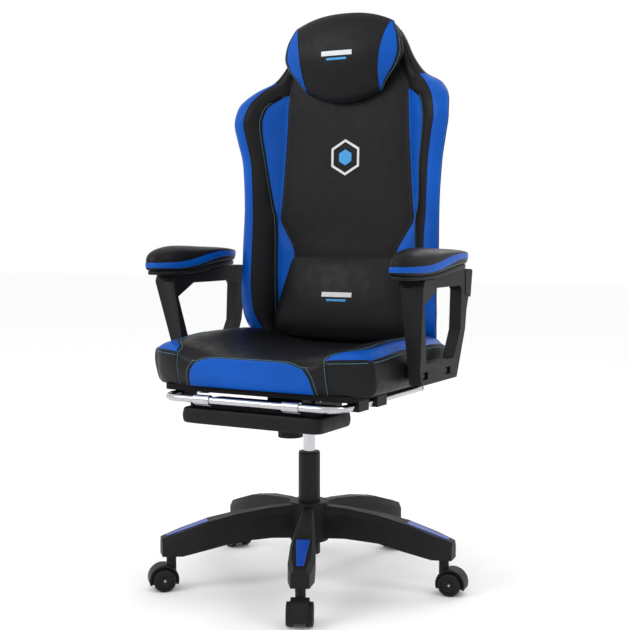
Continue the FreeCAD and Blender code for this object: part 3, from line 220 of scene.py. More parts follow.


# %% [markdown]
# The hard parts have four kinds of surface: moulded nylon with a fine spark texture, chrome and
# plated steel, powder-coated steel, and the glossy blue inlays of the star base, which carry a
# fine diamond cross-hatch with painted shade in its grooves.

# %% Hard finishes
def moulded(name, dark, light, roughness, texture=0.00010):
    finish, shader, add, link, place = start_finish(name, roughness, specular=0.17)
    flow = noise_on(add, place, 14.0, 3.0)
    sparks = noise_on(add, place, 820.0, 2.0)
    link(tone_between(add, spread(add, flow, 0.0, 1.0), dark, light), shader.inputs["Base Color"])
    link(spread(add, flow, roughness - 0.04, roughness + 0.06), shader.inputs["Roughness"])
    link(relief(add, sparks, texture, 0.6), shader.inputs["Normal"])
    return finish


def bare_metal(name, colour, roughness, smear):
    """Chrome or zinc: bright metal with a faint smear that follows the length of a tube."""
    finish, shader, add, link, place = start_finish(name, roughness, metallic=1.0)
    wiped = add("ShaderNodeMapping", Vector=place, Scale=(40.0, 40.0, 6.0)).outputs["Vector"]
    marks = noise_on(add, wiped, 3.0, 4.0)
    darker = tuple(channel * 0.86 for channel in colour)
    link(tone_between(add, spread(add, marks, 0.0, 1.0), darker, colour),
         shader.inputs["Base Color"])
    link(spread(add, marks, roughness, roughness + smear), shader.inputs["Roughness"])
    return finish


def cross_hatched(name, dark, light):
    """Gloss blue with raised diamonds: two sets of fine lines at right angles. The grooves carry
    painted shade.
    """
    finish, shader, add, link, place = start_finish(name, 0.28)
    lines = []
    for turn in (1, -1):
        leant = add("ShaderNodeMapping", Vector=place,
                    Rotation=(0.0, 0.0, turn * math.pi / 4)).outputs["Vector"]
        lines.append(add("ShaderNodeTexWave", Vector=leant, Scale=62.0).outputs["Fac"])
    hatch_and_groove_shade = add("ShaderNodeMath", {"operation": "MINIMUM"})
    link(lines[0], hatch_and_groove_shade.inputs[0])
    link(lines[1], hatch_and_groove_shade.inputs[1])
    # Painted shade: the blue is darker where the cross-hatch's grooves lie low.
    link(tone_between(add, hatch_and_groove_shade.outputs[0], dark, light), shader.inputs["Base Color"])
    link(relief(add, hatch_and_groove_shade.outputs[0], 0.0005, 0.8), shader.inputs["Normal"])
    return finish


nylon = moulded("black_moulded_nylon", (0.0065, 0.0065, 0.0070), (0.0100, 0.0100, 0.0108), 0.50)
wheel_nylon = moulded("smooth_wheel_nylon", (0.008, 0.008, 0.009), (0.012, 0.012, 0.013), 0.36,
                      0.00003)
powder_coat = moulded("black_powder_coat", (0.008, 0.008, 0.009), (0.012, 0.012, 0.013), 0.42,
                      0.00016)
webbing = moulded("woven_webbing", (0.012, 0.012, 0.012), (0.03, 0.03, 0.03), 0.8, 0.0004)
pad_skin = moulded("skinned_foam", (0.0095, 0.0095, 0.0105), (0.014, 0.014, 0.015), 0.52, 0.00012)
chrome = bare_metal("chrome", (0.52, 0.53, 0.55), 0.07, 0.07)
zinc = bare_metal("zinc_plated_steel", (0.56, 0.56, 0.58), 0.26, 0.14)
blue_inlay = cross_hatched("blue_cross_hatched_inlay", (0.0005, 0.035, 0.28), (0.001, 0.085, 0.55))
lining = moulded("black_lining_cloth", (0.004, 0.004, 0.005), (0.008, 0.008, 0.009), 0.85,
                 0.0003)
studio_white = moulded("pale_studio_floor", (0.96, 0.96, 0.96), (0.97, 0.97, 0.97), 0.9, 0.0)
floor_mesh.materials.append(studio_white)
FINISH_OF_SLOT = {"black_leatherette": black_cover, "pad_skin": pad_skin, "webbing": webbing,
                  "black_nylon": nylon, "wheel_nylon": wheel_nylon, "blue_trim": blue_inlay,
                  "chrome": chrome, "black_steel": powder_coat, "plated_steel": zinc,
                  "plywood": lining}
print("hard finishes:", sorted(FINISH_OF_SLOT))

# %% [markdown]
# The hard parts already have their true shape, but they arrive as loose triangles with knife
# edges. Each one gets a skin: a copy whose points are joined, whose flat faces are made whole and
# whose edges are rounded by a hair, because a real moulding never has a perfectly sharp edge and
# the rounding is what catches the light.

# %% Skins for the hard parts
def skin(node, finish, slot, edge=0.0008, sharp_from=32.0):
    """A joined, edge-rounded copy of a hard part, riding where the part rides."""
    mesh = NODES[node].data.copy()
    mesh.name = node + "_skin"
    cleaner = bmesh.new()
    cleaner.from_mesh(mesh)
    bmesh.ops.remove_doubles(cleaner, verts=cleaner.verts, dist=0.00002)
    bmesh.ops.dissolve_limit(cleaner, angle_limit=math.radians(1.0), verts=cleaner.verts,
                             edges=cleaner.edges)
    cleaner.to_mesh(mesh)
    cleaner.free()
    mesh.materials.clear()
    mesh.materials.append(finish)
    mesh.shade_smooth()
    mesh.set_sharp_from_angle(angle=math.radians(sharp_from))
    piece = put(node + "_skin", mesh)
    if edge:
        rounding = piece.modifiers.new("edge rounding", "BEVEL")
        rounding.width = edge
        rounding.segments = 2
        rounding.limit_method = "ANGLE"
        rounding.angle_limit = math.radians(sharp_from)
        rounding.harden_normals = True
    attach(piece, BODY_OF[node])
    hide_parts(node)
    return piece


HARD_PARTS = {
    "black_nylon": ["column_bush", "mechanism_housing", "tension_knob", "height_lever_grip",
                    "armrest_frame_left", "armrest_frame_right", "armrest_caps",
                    "recline_covers", "recline_lever_grip", "rail_end_caps", "rail_guides"]
                   + ["caster_hood_%d" % n for n in range(1, 6)]
                   + ["star_base", "armrest_spacers"],
    "wheel_nylon": ["caster_wheels_%d" % n for n in range(1, 6)],
    "black_steel": ["column_tube", "height_lever_rod", "mounting_plate", "recline_brackets",
                    "hinge_arms", "seat_frame", "back_frame", "recline_lever"],
    "chrome": ["gas_cylinder", "piston_rod", "footrest_rails", "footrest_hinges"],
    "plated_steel": ["mechanism_pins", "tension_spring", "mounting_bolts", "armrest_bolts",
                     "recline_pins", "thrust_bearing", "caster_stems"]
                    + ["caster_axle_%d" % n for n in range(1, 6)],
    "blue_trim": ["base_trims"],
    "plywood": ["seat_board", "footrest_board"],
    "webbing": ["back_straps"],
}
FINER_EDGE = {"caster_wheels_%d" % n: 0.0 for n in range(1, 6)}
FINER_EDGE.update({node: 0.0 for node in ("tension_spring", "footrest_rails", "gas_cylinder",
                                          "piston_rod", "height_lever_rod", "back_frame",
                                          "seat_frame", "recline_lever")})
BLACKENED = {"armrest_bolts": powder_coat, "mounting_bolts": powder_coat}
made_skins = 0
for slot_name, members in HARD_PARTS.items():
    for node in members:
        if node in NODES:
            finish = BLACKENED.get(node, FINISH_OF_SLOT[slot_name])
            skin(node, finish, slot_name, FINER_EDGE.get(node, 0.0008))
            made_skins += 1
print("skins made:", made_skins, "of", len(NODES), "nodes")

# %% [markdown]
# Every cover on this chair is sewn from panels that meet at seams. A seam is a line that the foam
# swells away from on both sides. So each cushion is built as a net of points whose lines follow
# the seams: rings of points round the cushion, stacked from one end to the other. These helpers
# draw smooth lines through a few measured places, bow the panels between seams, and turn the
# stack into a closed surface.

# %% Helpers for sewn shapes
def through(*keys):
    """A smooth curve through (place, value) pairs that never overshoots them."""
    keys = sorted(keys)
    xs = np.array([k[0] for k in keys], float)
    ys = np.array([k[1] for k in keys], float)
    steps = np.diff(xs)
    slopes = np.diff(ys) / steps
    tangents = np.zeros(len(xs))
    tangents[0], tangents[-1] = slopes[0], slopes[-1]
    for i in range(1, len(xs) - 1):
        if slopes[i - 1] * slopes[i] > 0:
            w1 = 2 * steps[i] + steps[i - 1]
            w2 = steps[i] + 2 * steps[i - 1]
            tangents[i] = (w1 + w2) / (w1 / slopes[i - 1] + w2 / slopes[i])

    def value(x):
        x = np.clip(np.asarray(x, float), xs[0], xs[-1])
        i = np.clip(np.searchsorted(xs, x, side="right") - 1, 0, len(xs) - 2)
        t = (x - xs[i]) / steps[i]
        start = (2 * t**3 - 3 * t**2 + 1) * ys[i] + (t**3 - 2 * t**2 + t) * steps[i] * tangents[i]
        end = (3 * t**2 - 2 * t**3) * ys[i + 1] + (t**3 - t**2) * steps[i] * tangents[i + 1]
        return start + end
    return value


def bowed(start, end, count, bow, fullness=0.7):
    """count points from start up to but not on end, pushed to the right of the run by bow."""
    start, end = np.asarray(start, float), np.asarray(end, float)
    t = np.arange(count) / count
    run = end - start
    side = np.array([run[1], -run[0]]) / max(np.hypot(*run), 1e-9)
    lift = bow * (4 * t * (1 - t)) ** fullness
    return start + np.outer(t, run) + np.outer(lift, side)


def face_outward(mesh):
    """Turns every face of a closed mesh to the outside."""
    turner = bmesh.new()
    turner.from_mesh(mesh)
    bmesh.ops.recalc_face_normals(turner, faces=turner.faces)
    turner.to_mesh(mesh)
    turner.free()


def stack_of_rings(name, rings, finishes, finish_of, level=1):
    """A closed surface from rings of points. A ring's points c and last - c face each other, so
    the two end rings are closed by strips across them."""
    rings = np.asarray(rings, float)
    rows, columns, _ = rings.shape
    faces, marks = [], []
    for row in range(rows - 1):
        for column in range(columns):
            beside = (column + 1) % columns
            faces.append((row * columns + column, row * columns + beside,
                          (row + 1) * columns + beside, (row + 1) * columns + column))
            marks.append(finish_of(row, column))
    for row in (0, rows - 1):
        first = row * columns
        for column in range(columns // 2 - 1):
            faces.append((first + column, first + column + 1,
                          first + columns - 2 - column, first + columns - 1 - column))
            marks.append(finish_of(row, column))
    mesh = bpy.data.meshes.new(name)
    mesh.from_pydata(rings.reshape(-1, 3).tolist(), [], faces)
    for finish in finishes:
        mesh.materials.append(finish)
    mesh.polygons.foreach_set("material_index", marks)
    face_outward(mesh)
    mesh.shade_smooth()
    piece = put(name, mesh)
    if level:
        softer = piece.modifiers.new("softer", "SUBSURF")
        softer.levels = softer.render_levels = level
    return piece


def surface_of(piece):
    """The finished surface of a piece, for laying stitches and patches on it."""
    graph = bpy.context.evaluated_depsgraph_get()
    return BVHTree.FromObject(piece, graph)


def laid_on(surface, points, lift):
    """Moves points to the nearest place on a surface, raised by lift."""
    placed = []
    for point in points:
        place, normal, _, _ = surface.find_nearest(Vector(point))
        placed.append(place + normal * lift)
    return placed


def net_line(net, rows, columns):
    """Points at fractional rows and columns of a net of rings."""
    rows, columns = np.broadcast_arrays(np.asarray(rows, float), np.asarray(columns, float))
    r = np.clip(rows.astype(int), 0, len(net) - 2)
    c = np.clip(columns.astype(int), 0, net.shape[1] - 2)
    fr, fc = (rows - r)[:, None], (columns - c)[:, None]
    return ((net[r, c] * (1 - fc) + net[r, c + 1] * fc) * (1 - fr)
            + (net[r + 1, c] * (1 - fc) + net[r + 1, c + 1] * fc) * fr)


THREAD_LIFT = 0.0002


def sewn_line(surface, net, rows, columns, lift=THREAD_LIFT):
    """A line of a net, laid on the finished surface of its piece."""
    return laid_on(surface, net_line(net, rows, columns), lift)

# %% [markdown]
# A row of stitches is the same short thread again and again along a line. Geometry Nodes suit it:
# the line goes in, points are set along it at the stitch length, and a small thread is laid on
# each. One tree serves every seam of the chair.

# %% A tree that sews a line
def sewing_tree():
    tree = bpy.data.node_groups.new("sew_a_line", "GeometryNodeTree")
    face = tree.interface
    face.new_socket("Line", in_out="INPUT", socket_type="NodeSocketGeometry")
    for label, usual in (("Stitch Pitch", 0.005), ("Thread Length", 0.0036),
                         ("Thread Radius", 0.0006)):
        face.new_socket(label, in_out="INPUT", socket_type="NodeSocketFloat").default_value = usual
    face.new_socket("Thread", in_out="INPUT", socket_type="NodeSocketMaterial")
    face.new_socket("Stitches", in_out="OUTPUT", socket_type="NodeSocketGeometry")
    add = tree.nodes.new
    given, sewn = add("NodeGroupInput"), add("NodeGroupOutput")
    to_curve, to_points = add("GeometryNodeMeshToCurve"), add("GeometryNodeCurveToPoints")
    to_points.mode = "LENGTH"
    thread, shape = add("GeometryNodeMeshCylinder"), add("GeometryNodeInstanceOnPoints")
    thread.inputs["Vertices"].default_value = 5
    real, dress = add("GeometryNodeRealizeInstances"), add("GeometryNodeSetMaterial")
    for start, end in ((given.outputs["Line"], to_curve.inputs["Mesh"]),
                       (to_curve.outputs["Curve"], to_points.inputs["Curve"]),
                       (given.outputs["Stitch Pitch"], to_points.inputs["Length"]),
                       (given.outputs["Thread Length"], thread.inputs["Depth"]),
                       (given.outputs["Thread Radius"], thread.inputs["Radius"]),
                       (to_points.outputs["Points"], shape.inputs["Points"]),
                       (to_points.outputs["Rotation"], shape.inputs["Rotation"]),
                       (thread.outputs["Mesh"], shape.inputs["Instance"]),
                       (shape.outputs["Instances"], real.inputs["Geometry"]),
                       (real.outputs["Geometry"], dress.inputs["Geometry"]),
                       (given.outputs["Thread"], dress.inputs["Material"]),
                       (dress.outputs["Geometry"], sewn.inputs["Stitches"])):
        tree.links.new(start, end)
    return tree


SEWING = sewing_tree()


def sew(name, lines, body, thread, pitch=0.0052, length=0.0036, radius=0.0006):
    """Stitches along several lines of points, as one plain mesh that rides on a body."""
    points, edges = [], []
    for line in lines:
        first = len(points)
        points += [tuple(p) for p in line]
        edges += [(first + i, first + i + 1) for i in range(len(line) - 1)]
    path = bpy.data.meshes.new(name + "_path")
    path.from_pydata(points, edges, [])
    guide = put(name + "_path", path)
    sewing = guide.modifiers.new("sewing", "NODES")
    sewing.node_group = SEWING
    wanted = {"Stitch Pitch": pitch, "Thread Length": length, "Thread Radius": radius,
              "Thread": thread}
    for socket in SEWING.interface.items_tree:
        if socket.name in wanted:
            sewing[socket.identifier] = wanted[socket.name]
    graph = bpy.context.evaluated_depsgraph_get()
    mesh = bpy.data.meshes.new_from_object(guide.evaluated_get(graph))
    bpy.data.objects.remove(guide)
    mesh.name = name
    piece = put(name, mesh)
    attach(piece, body)
    print(name, "has", len(mesh.polygons) // 7, "stitches")
    return piece


def piping(name, lines, radius, finish, body, sides=8):
    """Round cords sewn into seams: one tube for each line, joined as one piece."""
    points, faces = [], []
    for line in lines:
        path = np.array([tuple(p) for p in line], float)
        ahead = np.gradient(path, axis=0)
        ahead /= np.linalg.norm(ahead, axis=1)[:, None]
        across = np.cross(ahead, (0.0, 1.0, 0.0))
        across /= np.maximum(np.linalg.norm(across, axis=1)[:, None], 1e-9)
        upward = np.cross(across, ahead)
        first = len(points)
        angles = np.linspace(0, 2 * math.pi, sides, endpoint=False)
        for centre, u, v in zip(path, across, upward):
            points += [tuple(centre + radius * (math.cos(a) * u + math.sin(a) * v))
                       for a in angles]
        for row in range(len(path) - 1):
            for side in range(sides):
                beside = (side + 1) % sides
                faces.append((first + row * sides + side, first + row * sides + beside,
                              first + (row + 1) * sides + beside, first + (row + 1) * sides + side))
        faces.append(tuple(range(first, first + sides)))
        last = first + (len(path) - 1) * sides
        faces.append(tuple(range(last, last + sides)))
    mesh = bpy.data.meshes.new(name)
    mesh.from_pydata(points, [], faces)
    mesh.materials.append(finish)
    face_outward(mesh)
    mesh.shade_smooth()
    piece = put(name, mesh)
    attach(piece, body)
    return piece


# %% [markdown]
# The backrest is the piece that gives this kind of chair its look: a bucket shape with swollen
# side wings, a waist, broad shoulders and a rounded head. From its middle outwards a level slice
# crosses the flat middle panel, a blue panel, a black band, and a blue stripe that wraps the
# edge. The seams between them wander up the back, and below the shoulders the middle seam and the
# band's seam cross. So the slices are drawn from a few seam curves, and the net follows them.

# %% Backrest seam curves, in metres of height
back_low, back_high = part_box("back_cushion")
BACK_TOP = back_high.z
outline_points = [(0.130, 0.500), (0.200, 0.512), (0.240, 0.535), (0.256, 0.570), (0.262, 0.620),
                  (0.263, 0.750), (0.261, 0.856), (0.266, 0.958), (0.278, 1.020), (0.285, 1.060),
                  (0.281, 1.100), (0.250, 1.138), (0.203, 1.162), (0.170, 1.200), (0.143, 1.250),
                  (0.108, 1.288), (0.066, BACK_TOP - 0.006), (0.020, BACK_TOP)]
middle_seam = through((0.50, 0.14), (0.58, 0.185), (0.62, 0.165), (0.68, 0.148), (0.745, 0.139),
                      (0.787, 0.160), (0.832, 0.184), (0.856, 0.181), (0.958, 0.172),
                      (1.06, 0.165), (1.126, 0.163), (1.162, 0.150), (1.20, 0.132), (1.25, 0.112),
                      (1.288, 0.085), (1.31, 0.012))
band_seam = through((0.50, 0.150), (0.58, 0.188), (0.70, 0.187), (0.787, 0.186), (0.832, 0.1865),
                    (0.856, 0.194), (0.958, 0.204), (1.06, 0.215), (1.095, 0.207), (1.116, 0.190),
                    (1.126, 0.168), (1.162, 0.156), (1.20, 0.138), (1.25, 0.118), (1.288, 0.092),
                    (1.31, 0.014))
stripe_seam = through((0.50, 0.158), (0.53, 0.180), (0.57, 0.206), (0.62, 0.221), (0.70, 0.228),
                      (0.787, 0.228), (0.856, 0.230), (0.958, 0.234), (1.02, 0.244),
                      (1.06, 0.251), (1.10, 0.243), (1.138, 0.216), (1.162, 0.187), (1.20, 0.160),
                      (1.25, 0.140), (1.288, 0.112), (1.31, 0.017))
middle_depth = through((0.50, 0.176), (0.745, 0.168), (0.787, 0.171), (0.856, 0.174),
                       (0.958, 0.178), (1.06, 0.181), (1.162, 0.184), (1.25, 0.192),
                       (1.288, 0.205), (1.31, 0.232))
band_depth = through((0.50, 0.176), (0.60, 0.172), (0.787, 0.169), (0.856, 0.166), (0.958, 0.149),
                     (1.06, 0.142), (1.095, 0.150), (1.126, 0.176), (1.162, 0.183),
                     (1.25, 0.191), (1.288, 0.204), (1.31, 0.232))
stripe_depth = through((0.50, 0.165), (0.56, 0.125), (0.62, 0.108), (0.70, 0.114), (0.787, 0.121),
                       (0.856, 0.127), (0.958, 0.127), (1.06, 0.118), (1.10, 0.128),
                       (1.138, 0.154), (1.162, 0.178), (1.20, 0.184), (1.25, 0.191),
                       (1.288, 0.204), (1.31, 0.232))
edge_depth = through((0.50, 0.190), (0.60, 0.128), (0.66, 0.122), (0.70, 0.128), (0.787, 0.134),
                     (0.856, 0.138), (0.958, 0.140), (1.06, 0.130), (1.10, 0.142),
                     (1.162, 0.188), (1.25, 0.202), (1.288, 0.214), (1.31, 0.236))
rear_depth = through((0.50, 0.255), (0.52, 0.262), (0.90, 0.274), (1.22, 0.283), (1.27, 0.276),
                     (1.295, 0.262), (1.31, 0.240))
STRIPE_TOP = 1.160
BAND_TOP = 1.124
LOWER_BLUE_FOOT = 0.585
print("back is", round(BACK_TOP - back_low.z, 3), "m tall")


# %% [markdown]
# The net has one ring for each height. A ring is drawn as its right half, from the middle of the
# front round to the middle of the rear, and then mirrored.

# %% Backrest net
def along_outline(points, count):
    """Evenly spaced places on a smooth line through the outline's points."""
    points = np.array(points, float)
    reach = np.concatenate([[0], np.cumsum(np.hypot(*np.diff(points, axis=0).T))])
    half = through(*zip(reach, points[:, 0]))
    height = through(*zip(reach, points[:, 1]))
    places = np.linspace(0, reach[-1], count)
    return half(places), height(places)


BACK_ROWS = 96
MIDDLE_COLUMNS, BLUE_COLUMNS, BAND_COLUMNS, STRIPE_COLUMNS = 9, 6, 6, 6
SIDE_COLUMNS, REAR_COLUMNS = 7, 20
LEAST_STRIPE, LEAST_BAND, LEAST_BLUE = 0.004, 0.003, 0.0015
MIDDLE_HOLLOW, REAR_CROWN, HEAD_TAPER = 0.004, 0.002, 0.12
HEEL_IN, HEEL_SHARE = 0.098, 0.38
BLUE_BOW, BAND_BOW, STRIPE_BOW, SIDE_BOW, REAR_BOW = 0.004, 0.007, 0.008, 0.006, 0.001


def back_slice(half, height):
    """The right half of a level slice, from the middle of the front to the middle of the rear."""
    inner, band = middle_seam(height), band_seam(height)
    stripe, edge = stripe_seam(height), half
    stripe = min(stripe, edge - LEAST_STRIPE)
    band = min(band, stripe - LEAST_BAND)
    inner = min(inner, band - LEAST_BLUE)
    front, mid = middle_depth(height), middle_depth(height) - MIDDLE_HOLLOW
    swell = min(1.0, max(0.0, (BACK_TOP - height) / HEAD_TAPER))
    rear = rear_depth(height)
    corner = min(HEEL_IN, edge * HEEL_SHARE)
    t = np.linspace(0, 1, MIDDLE_COLUMNS, endpoint=False)
    middle = np.stack([inner * t, mid + (front - mid) * t**3], axis=1)
    valley = (inner, front + 0.002 * swell)
    crossing = (band, band_depth(height) + 0.001 * swell)
    crest = (stripe, stripe_depth(height))
    outer = (edge, edge_depth(height))
    heel = (edge - corner, rear)
    gap = band - inner
    return np.concatenate([
        middle,
        bowed(valley, crossing, BLUE_COLUMNS, min(BLUE_BOW, gap * 0.12)),
        bowed(crossing, crest, BAND_COLUMNS, BAND_BOW * swell),
        bowed(crest, outer, STRIPE_COLUMNS, min(STRIPE_BOW, (edge - stripe) * 0.3)),
        bowed(outer, heel, SIDE_COLUMNS, SIDE_BOW * swell, 1.0),
        bowed(heel, (0.0, rear + REAR_CROWN), REAR_COLUMNS // 2, REAR_BOW),
        [(0.0, rear + REAR_CROWN)]])


half_widths, heights = along_outline(outline_points, BACK_ROWS)
back_rings = []
for half, height in zip(half_widths, heights):
    right = back_slice(float(half), float(height))
    # The ring starts at the left side and runs over the front, so that opposite points pair up.
    turn = len(right) - REAR_COLUMNS // 2 - 1
    ring = np.concatenate([right[1:turn][::-1] * (-1, 1), right, right[turn:-1][::-1] * (-1, 1)])
    back_rings.append([(x, y, height) for x, y in ring])
back_rings = np.array(back_rings)
FRONT_MIDDLE = (MIDDLE_COLUMNS + BLUE_COLUMNS + BAND_COLUMNS + STRIPE_COLUMNS + SIDE_COLUMNS) - 1
print("back net:", back_rings.shape)


def back_finish(row, column):
    """0 is black and 1 is blue, from where a face lies across and up the back."""
    out = column - FRONT_MIDDLE if column >= FRONT_MIDDLE else FRONT_MIDDLE - 1 - column
    height = float(heights[row])
    blue_from, band_from = MIDDLE_COLUMNS, MIDDLE_COLUMNS + BLUE_COLUMNS
    stripe_from = band_from + BAND_COLUMNS
    stripe_to = stripe_from + STRIPE_COLUMNS
    if blue_from <= out < band_from:
        return int(LOWER_BLUE_FOOT < height < BAND_TOP)
    if stripe_from <= out < stripe_to:
        return int(height < STRIPE_TOP)
    return 0


backrest = stack_of_rings("backrest_cover", back_rings, [black_cover, blue_cover], back_finish)
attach(backrest, "backrest")
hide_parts("back_cushion")

# %% [markdown]
# The lumbar cushion is one plain black bolster strapped to the waist of the back. Its top edge is
# nearly straight, its sides swell downwards, and it is thickest a little above the seat.

# %% Lumbar cushion
def front_and_rear(across, front, rear, bulge):
    """A level ring from matching front and rear curves, both running from left to right, joined
    at each side by a boxing strip that bulges outwards."""
    x, z = across
    strip = (np.arange(BOXING) + 1) / (BOXING + 1)
    swell = bulge * (4 * strip * (1 - strip)) ** 0.6
    right = np.stack([x[-1] + swell, front[-1] + strip * (rear[-1] - front[-1]),
                      np.full(BOXING, z[-1])], axis=1)
    left = np.stack([x[0] - swell, front[0] + strip * (rear[0] - front[0]),
                     np.full(BOXING, z[0])], axis=1)
    half = BOXING // 2
    return np.concatenate([left[:half][::-1], np.stack([x, front, z], axis=1), right,
                           np.stack([x, rear, z], axis=1)[::-1], left[half:][::-1]])


BOXING = 4


def rounded_spread(count):
    """Places from -1 to 1, closer together towards both ends, where a cushion's edge turns."""
    return np.sin(np.linspace(-math.pi / 2, math.pi / 2, count))


lumbar_low, lumbar_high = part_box("lumbar_cushion")
LUMBAR_REAR = lumbar_high.y
LUMBAR_FRONT = lumbar_low.y
lumbar_half = through((0.00, 0.172), (0.05, 0.179), (0.20, 0.178), (0.45, 0.165), (0.75, 0.149),
                      (0.95, 0.140), (1.00, 0.137))
lumbar_depth = through((0.00, 0.030), (0.05, 0.040), (0.20, 0.046), (0.45, 0.040), (0.70, 0.028),
                       (0.90, 0.014), (0.97, 0.008), (1.00, 0.003))
lumbar_crown = through((0.00, 0.002), (0.20, 0.006), (0.50, 0.010), (0.85, 0.008), (1.00, 0.001))
lumbar_rings = []
for up in (rounded_spread(44) + 1) / 2:
    u = rounded_spread(35)
    x = u * float(lumbar_half(up))
    z = (lumbar_low.z + up * (lumbar_high.z - lumbar_low.z)
         + 0.003 * up * (1 - u**2) - 0.004 * (1 - up) * (1 - u**2))
    depth, crown = float(lumbar_depth(up)), float(lumbar_crown(up))
    front = LUMBAR_REAR - 0.001 - depth - crown * (1 - u**2) + depth * 0.22 * np.abs(u) ** 7
    rear = np.full(len(u), LUMBAR_REAR)
    lumbar_rings.append(front_and_rear((x, z), front, rear, 0.004 + depth * 0.10))
lumbar_rings = np.array(lumbar_rings)
lumbar = stack_of_rings("lumbar_cover", lumbar_rings, [black_cover], lambda row, column: 0)
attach(lumbar, "backrest")
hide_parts("lumbar_cushion")
print("lumbar cushion is", round(2 * float(lumbar_half(0.05)), 3), "m wide and",
      round(LUMBAR_REAR - LUMBAR_FRONT, 3), "m deep")

# %% [markdown]
# The head pillow has a black middle and two blue leaf-shaped panels that taper to nothing at its
# top and bottom corners. Its lower edge hangs in a shallow arc. The net's columns follow the
# leaves, so each leaf's colour ends exactly on its seam.

# %% Head pillow
pillow_low, pillow_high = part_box("head_pillow")
PILLOW_REAR = pillow_high.y
pillow_half = through((0.00, 0.099), (0.15, 0.113), (0.35, 0.136), (0.55, 0.1465), (0.75, 0.143),
                      (0.90, 0.134), (1.00, 0.127))
leaf_edge = through((0.00, 0.0975), (0.15, 0.098), (0.45, 0.103), (0.80, 0.115), (1.00, 0.1255))
pillow_edge_depth = through((0.00, 0.012), (0.08, 0.018), (0.50, 0.027), (0.92, 0.016),
                            (1.00, 0.008))
PILLOW_CROWN = 0.022
LEAF_COLUMNS, PILLOW_MIDDLE_COLUMNS = 7, 21


def pillow_columns(up):
    """x of the front's points at a height from 0 to 1, from the left edge to the right edge."""
    half, leaf = float(pillow_half(up)), float(leaf_edge(up))
    leaf = min(leaf, half - 0.001)
    middle = np.linspace(-leaf, leaf, PILLOW_MIDDLE_COLUMNS)
    outer = leaf + (half - leaf) * np.sin(np.linspace(0, math.pi / 2, LEAF_COLUMNS))[1:]
    return np.concatenate([-outer[::-1], middle, outer])


pillow_ups = (rounded_spread(46) + 1) / 2
pillow_rings = []
for up in pillow_ups:
    x = pillow_columns(float(up))
    u = x / float(pillow_half(up))
    low = pillow_low.z + 0.008 + 0.028 * np.abs(u) ** 2.0
    high = pillow_high.z - 0.026 * np.abs(u) ** 2.4
    z = low + float(up) * (high - low)
    crown = PILLOW_CROWN * math.sin(math.pi * min(max(float(up), 0.0), 1.0)) ** 0.6
    front = (PILLOW_REAR - float(pillow_edge_depth(up)) - crown * (1 - u**2) ** 0.75)
    rear = np.full(len(u), PILLOW_REAR) - 0.006 * np.abs(u) ** 8
    bulge = 0.001 + 0.010 * math.sin(math.pi * float(up))
    pillow_rings.append(front_and_rear((x, z), front, rear, bulge))
pillow_rings = np.array(pillow_rings)
PILLOW_COLUMNS = PILLOW_MIDDLE_COLUMNS + 2 * (LEAF_COLUMNS - 1)


def pillow_finish(row, column):
    place = column - BOXING // 2
    leaves = LEAF_COLUMNS - 1
    last = PILLOW_COLUMNS - 1
    return int(0 <= place < leaves or last - leaves <= place < last)


pillow = stack_of_rings("head_pillow_cover", pillow_rings, [black_cover, blue_cover],
                        pillow_finish)
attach(pillow, "backrest")
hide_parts("head_pillow", "head_pillow_patches")
print("head pillow net:", pillow_rings.shape)

# %% [markdown]
# The seat cushion is one deep block of foam with a shallow dish. Slices from side to side carry
# its seams: a blue panel let into the front, an upright seam at each side of it, and a blue piece
# that starts at each front corner and runs back along the edge of the bolster. On the top a slice
# line wanders with the blue piece's inner edge, and on the front it stands upright.

# %% Seat cushion
seat_low, seat_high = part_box("seat_cushion")
SEAT_FOOT, SEAT_TOP = seat_low.z, seat_high.z
SEAT_FRONT, SEAT_BACK = seat_low.y, seat_high.y
front_line = through((0.0, SEAT_FRONT), (0.10, SEAT_FRONT + 0.001), (0.155, SEAT_FRONT + 0.004),
                     (0.200, SEAT_FRONT + 0.010), (0.225, SEAT_FRONT + 0.017),
                     (0.245, SEAT_FRONT + 0.026), (0.260, SEAT_FRONT + 0.040),
                     (0.268, SEAT_FRONT + 0.054), (0.2755, SEAT_FRONT + 0.084))
panel_side = through((0.466, 0.155), (0.490, 0.151), (0.506, 0.145), (0.516, 0.136), (0.522, 0.126))
panel_top = through((0.0, 0.533), (0.085, 0.5325), (0.105, 0.530), (0.120, 0.5255), (0.134, 0.517),
                    (0.165, 0.524), (0.187, 0.540), (0.27, 0.543))
leaf_inner = through((-0.262, 0.185), (-0.246, 0.187), (-0.225, 0.205), (-0.190, 0.235),
                     (-0.165, 0.244), (-0.10, 0.246), (0.175, 0.246))
leaf_outer = through((-0.262, 0.215), (-0.246, 0.220), (-0.225, 0.232), (-0.190, 0.247),
                     (-0.165, 0.2525), (0.175, 0.2545))
dish = through((0.0, 0.0), (0.06, 0.001), (0.15, 0.012), (0.19, 0.020), (0.22, 0.0245),
               (0.245, 0.021), (0.262, 0.008))
rearward_rise = through((SEAT_FRONT, 0.0), (SEAT_FRONT + 0.08, 0.002), (SEAT_FRONT + 0.20, 0.010),
                        (SEAT_BACK - 0.10, 0.009), (SEAT_BACK, 0.0))
bolster_share = through((0.0, 0.0), (0.14, 0.0), (0.22, 1.0), (0.28, 1.0))
FACE_POINTS, ROLL_POINTS, TOP_POINTS, REAR_POINTS = 10, 5, 16, 5
PANEL_ROWS, FLANK_ROWS, LEAF_ROWS, EDGE_ROWS = 9, 4, 7, 5
BLUE_WALL_ROWS = 1
SEAT_SEAM = 0.187          # the upright seam at each side of the front panel
SIDE_OUT = 0.2620          # where the top's slices end and the side wall begins
PANEL_TOP_OUT = 0.130
LEAF_FRONT_OUT = 0.226
FACE_AT, CREST_OVER, ROLL_OVER = 0.50, 0.52, 0.53
FOOT_TUCK, LIP_EASE = 0.014, 0.002
ROLL_REACH, REAR_ROLL = 0.045, 0.020
DISH_DEPTH, FRONT_FILL = 0.0135, 0.003


